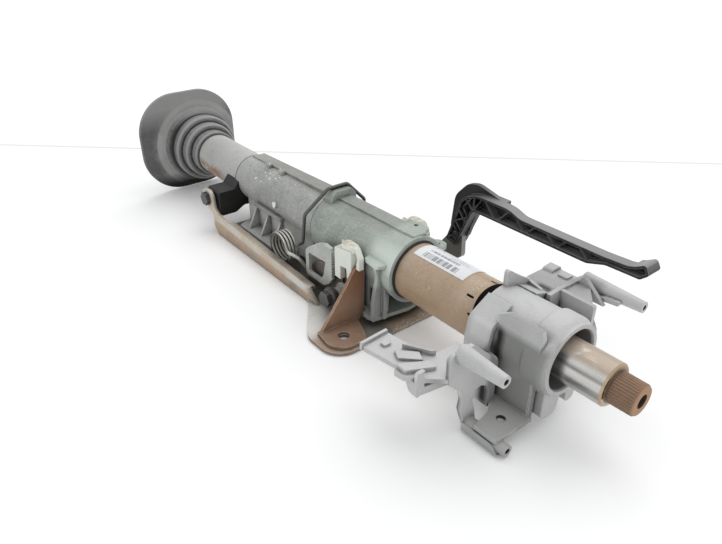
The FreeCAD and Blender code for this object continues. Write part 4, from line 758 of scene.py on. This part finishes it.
shaftShade = (0.22, 0.205, 0.19)
shaftRust = (0.40, 0.225, 0.125)
shaftLook = {
    "base": (0.66, 0.655, 0.64), "patch": (0.58, 0.575, 0.56), "grain": 0.08, "dirtAndShade": (0.04, 0.036, 0.03),
    "dirtAndShadeReach": 0.006, "rough": (0.20, 0.30), "metal": 0.9, "bump": 0.08, "rounding": 0.0005,
    # reflectedStreaks: painted dark streaks along the sleeve, standing for reflections
    "reflectedStreaks": {"tone": shaftShade,
                 "blots": {"stretch": (6, 260, 260), "detail": 3.0, "rough": 0.6, "range": (0.42, 0.60),
                           "shares": (0.0, 0.35)}},
    # upperStripe and lowerStripe: painted dark bands of reflection round the sleeve
    "upperStripe": {"tone": shaftShade, "share": 0.62, "where": {"turn": (1.02, 1.15, 0.05)}},
    "lowerStripe": {"tone": shaftShade, "share": 0.496, "where": {"turn": (1.50, 1.90, 0.06)}},
    "stained": {"where": {"turn": (-1.3, 0.72, 0.12)},
                "blots": {"scale": 60, "detail": 4.0, "rough": 0.7, "distort": 0.5, "range": (0.25, 0.42)}},
    "tan": (0.46, 0.36, 0.275), "tanShare": 0.85, "tanRough": 0.45, "tanCover": 0.8,
    "drip": {"tone": (0.68, 0.62, 0.53),
             "blots": {"stretch": (60, 300, 300), "detail": 3.0, "rough": 0.6, "distort": 0.3,
                       "range": (0.60, 0.68), "shares": (0.0, 0.7)}},
    "ring": {"tone": (0.44, 0.32, 0.18), "share": 0.8,
             "where": {"x": (0.2036, 0.2042), "radius": (0.0125, 0.0130)}},
    "end": {"where": {"x": (0.2046, 0.2058), "radius": (0.0130, 0.0125)}}, "endRough": 0.6, "endMetal": 0.05,
    "grooves": 36.0, "grooveSlant": 3400.0, "grooveEdge": (-0.35, 0.35), "grooveShare": 0.8,
    "ridge": (0.34, 0.215, 0.140), "groove": (0.130, 0.078, 0.048),
    "rust": {"tone": shaftRust, "blots": {"scale": 160, "detail": 5.0, "rough": 0.7, "range": (0.45, 0.7),
                                          "shares": (0.0, 0.5)}},
    "endFace": {"tone": shaftRust, "where": {"x": (0.2236, 0.2242)}},
    # hole: painted shade inside the end's hole
    "hole": {"tone": (0.070, 0.040, 0.024), "where": {"radius": (0.0054, 0.0051)}},
}


def shaftWearAndReflections(t, colour, rough):
    colour = t.layEach(colour, shaftLook, "reflectedStreaks", "upperStripe", "lowerStripe")
    stained = t.mask(shaftLook["stained"])
    colour = t.mix(t.times(stained, shaftLook["tanShare"]), colour, shaftLook["tan"])
    colour = t.lay(colour, shaftLook["drip"], stained)
    colour = t.lay(colour, shaftLook["ring"])
    around = t.times(t.measure("turn"), shaftLook["grooves"])
    slant = t.times(t.measure("x"), shaftLook["grooveSlant"])
    over = t.math("SINE", t.math("ADD", around, slant))
    under = t.math("SINE", t.math("SUBTRACT", around, slant))
    diamond = t.ramp(t.times(over, under), *shaftLook["grooveEdge"])
    rusty = t.mix(t.times(diamond, shaftLook["grooveShare"]), shaftLook["ridge"], shaftLook["groove"])
    rusty = t.layEach(rusty, shaftLook, "rust", "endFace", "hole")
    end = t.mask(shaftLook["end"])
    colour = t.mix(end, colour, rusty)
    rough = t.mix(stained, rough, (shaftLook["tanRough"],) * 3)
    rough = t.mix(end, rough, (shaftLook["endRough"],) * 3)
    covered = t.math("MAXIMUM", end, t.times(stained, shaftLook["tanCover"]))
    t.put(t.shader.inputs["Metallic"], t.ramp(covered, 0.0, 1.0, shaftLook["metal"], shaftLook["endMetal"]))
    return colour, rough


paint(surface("shaftSteel", shaftLook, shaftWearAndReflections), "upper_shaft")

lowerShaftLook = {
    "base": (0.50, 0.49, 0.47), "patch": (0.42, 0.40, 0.37), "stain": (0.30, 0.20, 0.13), "stainShare": 0.5,
    "dirtAndShade": (0.04, 0.036, 0.03), "rough": (0.3, 0.42), "metal": 0.8, "bump": 0.1,
}
paint(surface("lowerShaftSteel", lowerShaftLook), "lower_shaft")

bearingLook = {
    "base": (0.40, 0.40, 0.40), "patch": (0.33, 0.33, 0.33), "dirtAndShade": (0.02, 0.02, 0.02), "dirtAndShadeShare": 0.8,
    "rough": (0.2, 0.3), "metal": 0.9, "bump": 0.05,
}
paint(surface("bearingSteel", bearingLook), "lower_bearing", "lower_bearing_inner", "bearing_outer",
      "bearing_inner", "bearing_balls")
print("stage: shafts and bearings")


# Floor: pale table, with the thin seam that crosses the photograph behind the column

floorLook = {
    "tone": 0.97, "cloudTone": 0.98, "cloudScale": 3.0, "cloudDetail": 2.0, "rough": 0.7, "gloss": 0.2,
    "glow": 0.092, "seamStart": (-0.6191, -0.0608), "seamEnd": (-0.2716, 0.3154), "seamWidth": 0.0045,
    "seamSoft": 0.002, "seamTone": (0.3, 0.3, 0.28), "seamShare": 0.45, "half": 4.0, "height": -0.0004,
}


def tableTop(look):
    t = Tree("tableTop")
    x, y = t.axes(t.place)[:2]
    startX, startY = look["seamStart"]
    run = (Vector(look["seamEnd"]) - Vector(look["seamStart"])).normalized()
    acrossX = t.times(t.math("SUBTRACT", x, startX), -run.y)
    acrossY = t.times(t.math("SUBTRACT", y, startY), run.x)
    side = look["seamWidth"] / 2
    seam = t.band(t.math("ADD", acrossX, acrossY), -side, side, look["seamSoft"])
    cloud = t.noise(look["cloudScale"], look["cloudDetail"])
    colour = t.mix(cloud, (look["tone"],) * 3, (look["cloudTone"],) * 3)
    colour = t.mix(t.times(seam, look["seamShare"]), colour, look["seamTone"])
    t.put(t.shader.inputs["Base Color"], colour)
    t.shader.inputs["Roughness"].default_value = look["rough"]
    t.shader.inputs["Specular IOR Level"].default_value = look["gloss"]
    path = t.add("ShaderNodeLightPath")
    seen = t.math("MAXIMUM", path.outputs["Is Camera Ray"], path.outputs["Is Glossy Ray"])
    seen = t.math("MAXIMUM", seen, path.outputs["Is Transmission Ray"])
    t.shader.inputs["Emission Color"].default_value = (1, 1, 1, 1)
    t.put(t.shader.inputs["Emission Strength"], t.times(seen, look["glow"]))
    return t.mat


def stagePlane(name, half, height, material):
    mesh = bpy.data.meshes.new(name)
    corners = [(half, -half, height), (half, half, height), (-half, half, height), (-half, -half, height)]
    mesh.from_pydata(corners, [], [(0, 1, 2, 3)])
    mesh.materials.append(material)
    plane = bpy.data.objects.new(name, mesh)
    bpy.context.scene.collection.objects.link(plane)


stagePlane("floor", floorLook["half"], floorLook["height"], tableTop(floorLook))
print("stage: floor")


# Light: one soft sun, and a sky that lights the part less than it shines behind it

studio = {
    "sunPower": 1.20, "sunSpread": 60.0, "sunFrom": (-0.15, 0.55, 1.0), "skyLight": 0.66,
    "skyTint": (0.98, 0.99, 1.0, 1.0), "backdrop": 1.0, "backdropTint": (1.0, 1.0, 1.0, 1.0),
}


def addSun(look):
    sunData = bpy.data.lights.new("softSun", "SUN")
    sunData.energy = look["sunPower"]
    sunData.angle = math.radians(look["sunSpread"])
    sun = bpy.data.objects.new("softSun", sunData)
    sun.rotation_euler = Vector(look["sunFrom"]).to_track_quat("Z", "Y").to_euler()
    bpy.context.scene.collection.objects.link(sun)


def addSky(look):
    world = bpy.data.worlds.new("studio")
    bpy.context.scene.world = world
    world.use_nodes = True
    sky, links = world.node_tree.nodes, world.node_tree.links
    sky.clear()
    path = sky.new("ShaderNodeLightPath")
    seen = path.outputs["Is Camera Ray"]
    for ray in ("Is Glossy Ray", "Is Transmission Ray"):
        either = sky.new("ShaderNodeMath")
        either.operation = "MAXIMUM"
        links.new(seen, either.inputs[0])
        links.new(path.outputs[ray], either.inputs[1])
        seen = either.outputs[0]
    pick = sky.new("ShaderNodeMixShader")
    links.new(seen, pick.inputs[0])
    for slot, power, tint in ((1, "skyLight", "skyTint"), (2, "backdrop", "backdropTint")):
        background = sky.new("ShaderNodeBackground")
        background.inputs["Color"].default_value = look[tint]
        background.inputs["Strength"].default_value = look[power]
        links.new(background.outputs[0], pick.inputs[slot])
    worldOut = sky.new("ShaderNodeOutputWorld")
    links.new(pick.outputs[0], worldOut.inputs["Surface"])


addSun(studio)
addSky(studio)
print("stage: light")


# Camera, worked out from the straight edges and round sections in the photograph

view = {
    "place": (0.35165, -0.32473, 0.32561), "right": (0.6203, 0.7843, 0.0), "up": (-0.3981, 0.3149, 0.8616),
    "back": (0.6758, -0.5345, 0.5076), "lens": 31.69, "sensor": 36.0, "clipStart": 0.01,
}


def addCamera(look):
    cameraData = bpy.data.cameras.new("camera")
    cameraData.lens = look["lens"]
    cameraData.sensor_width = look["sensor"]
    cameraData.sensor_fit = "HORIZONTAL"
    cameraData.clip_start = look["clipStart"]
    camera = bpy.data.objects.new("camera", cameraData)
    facing = Matrix((look["right"], look["up"], look["back"])).transposed().to_4x4()
    camera.matrix_world = Matrix.Translation(look["place"]) @ facing
    bpy.context.scene.collection.objects.link(camera)
    bpy.context.scene.camera = camera


addCamera(view)
bpy.context.scene.view_settings.view_transform = "Standard"
print("stage: camera")
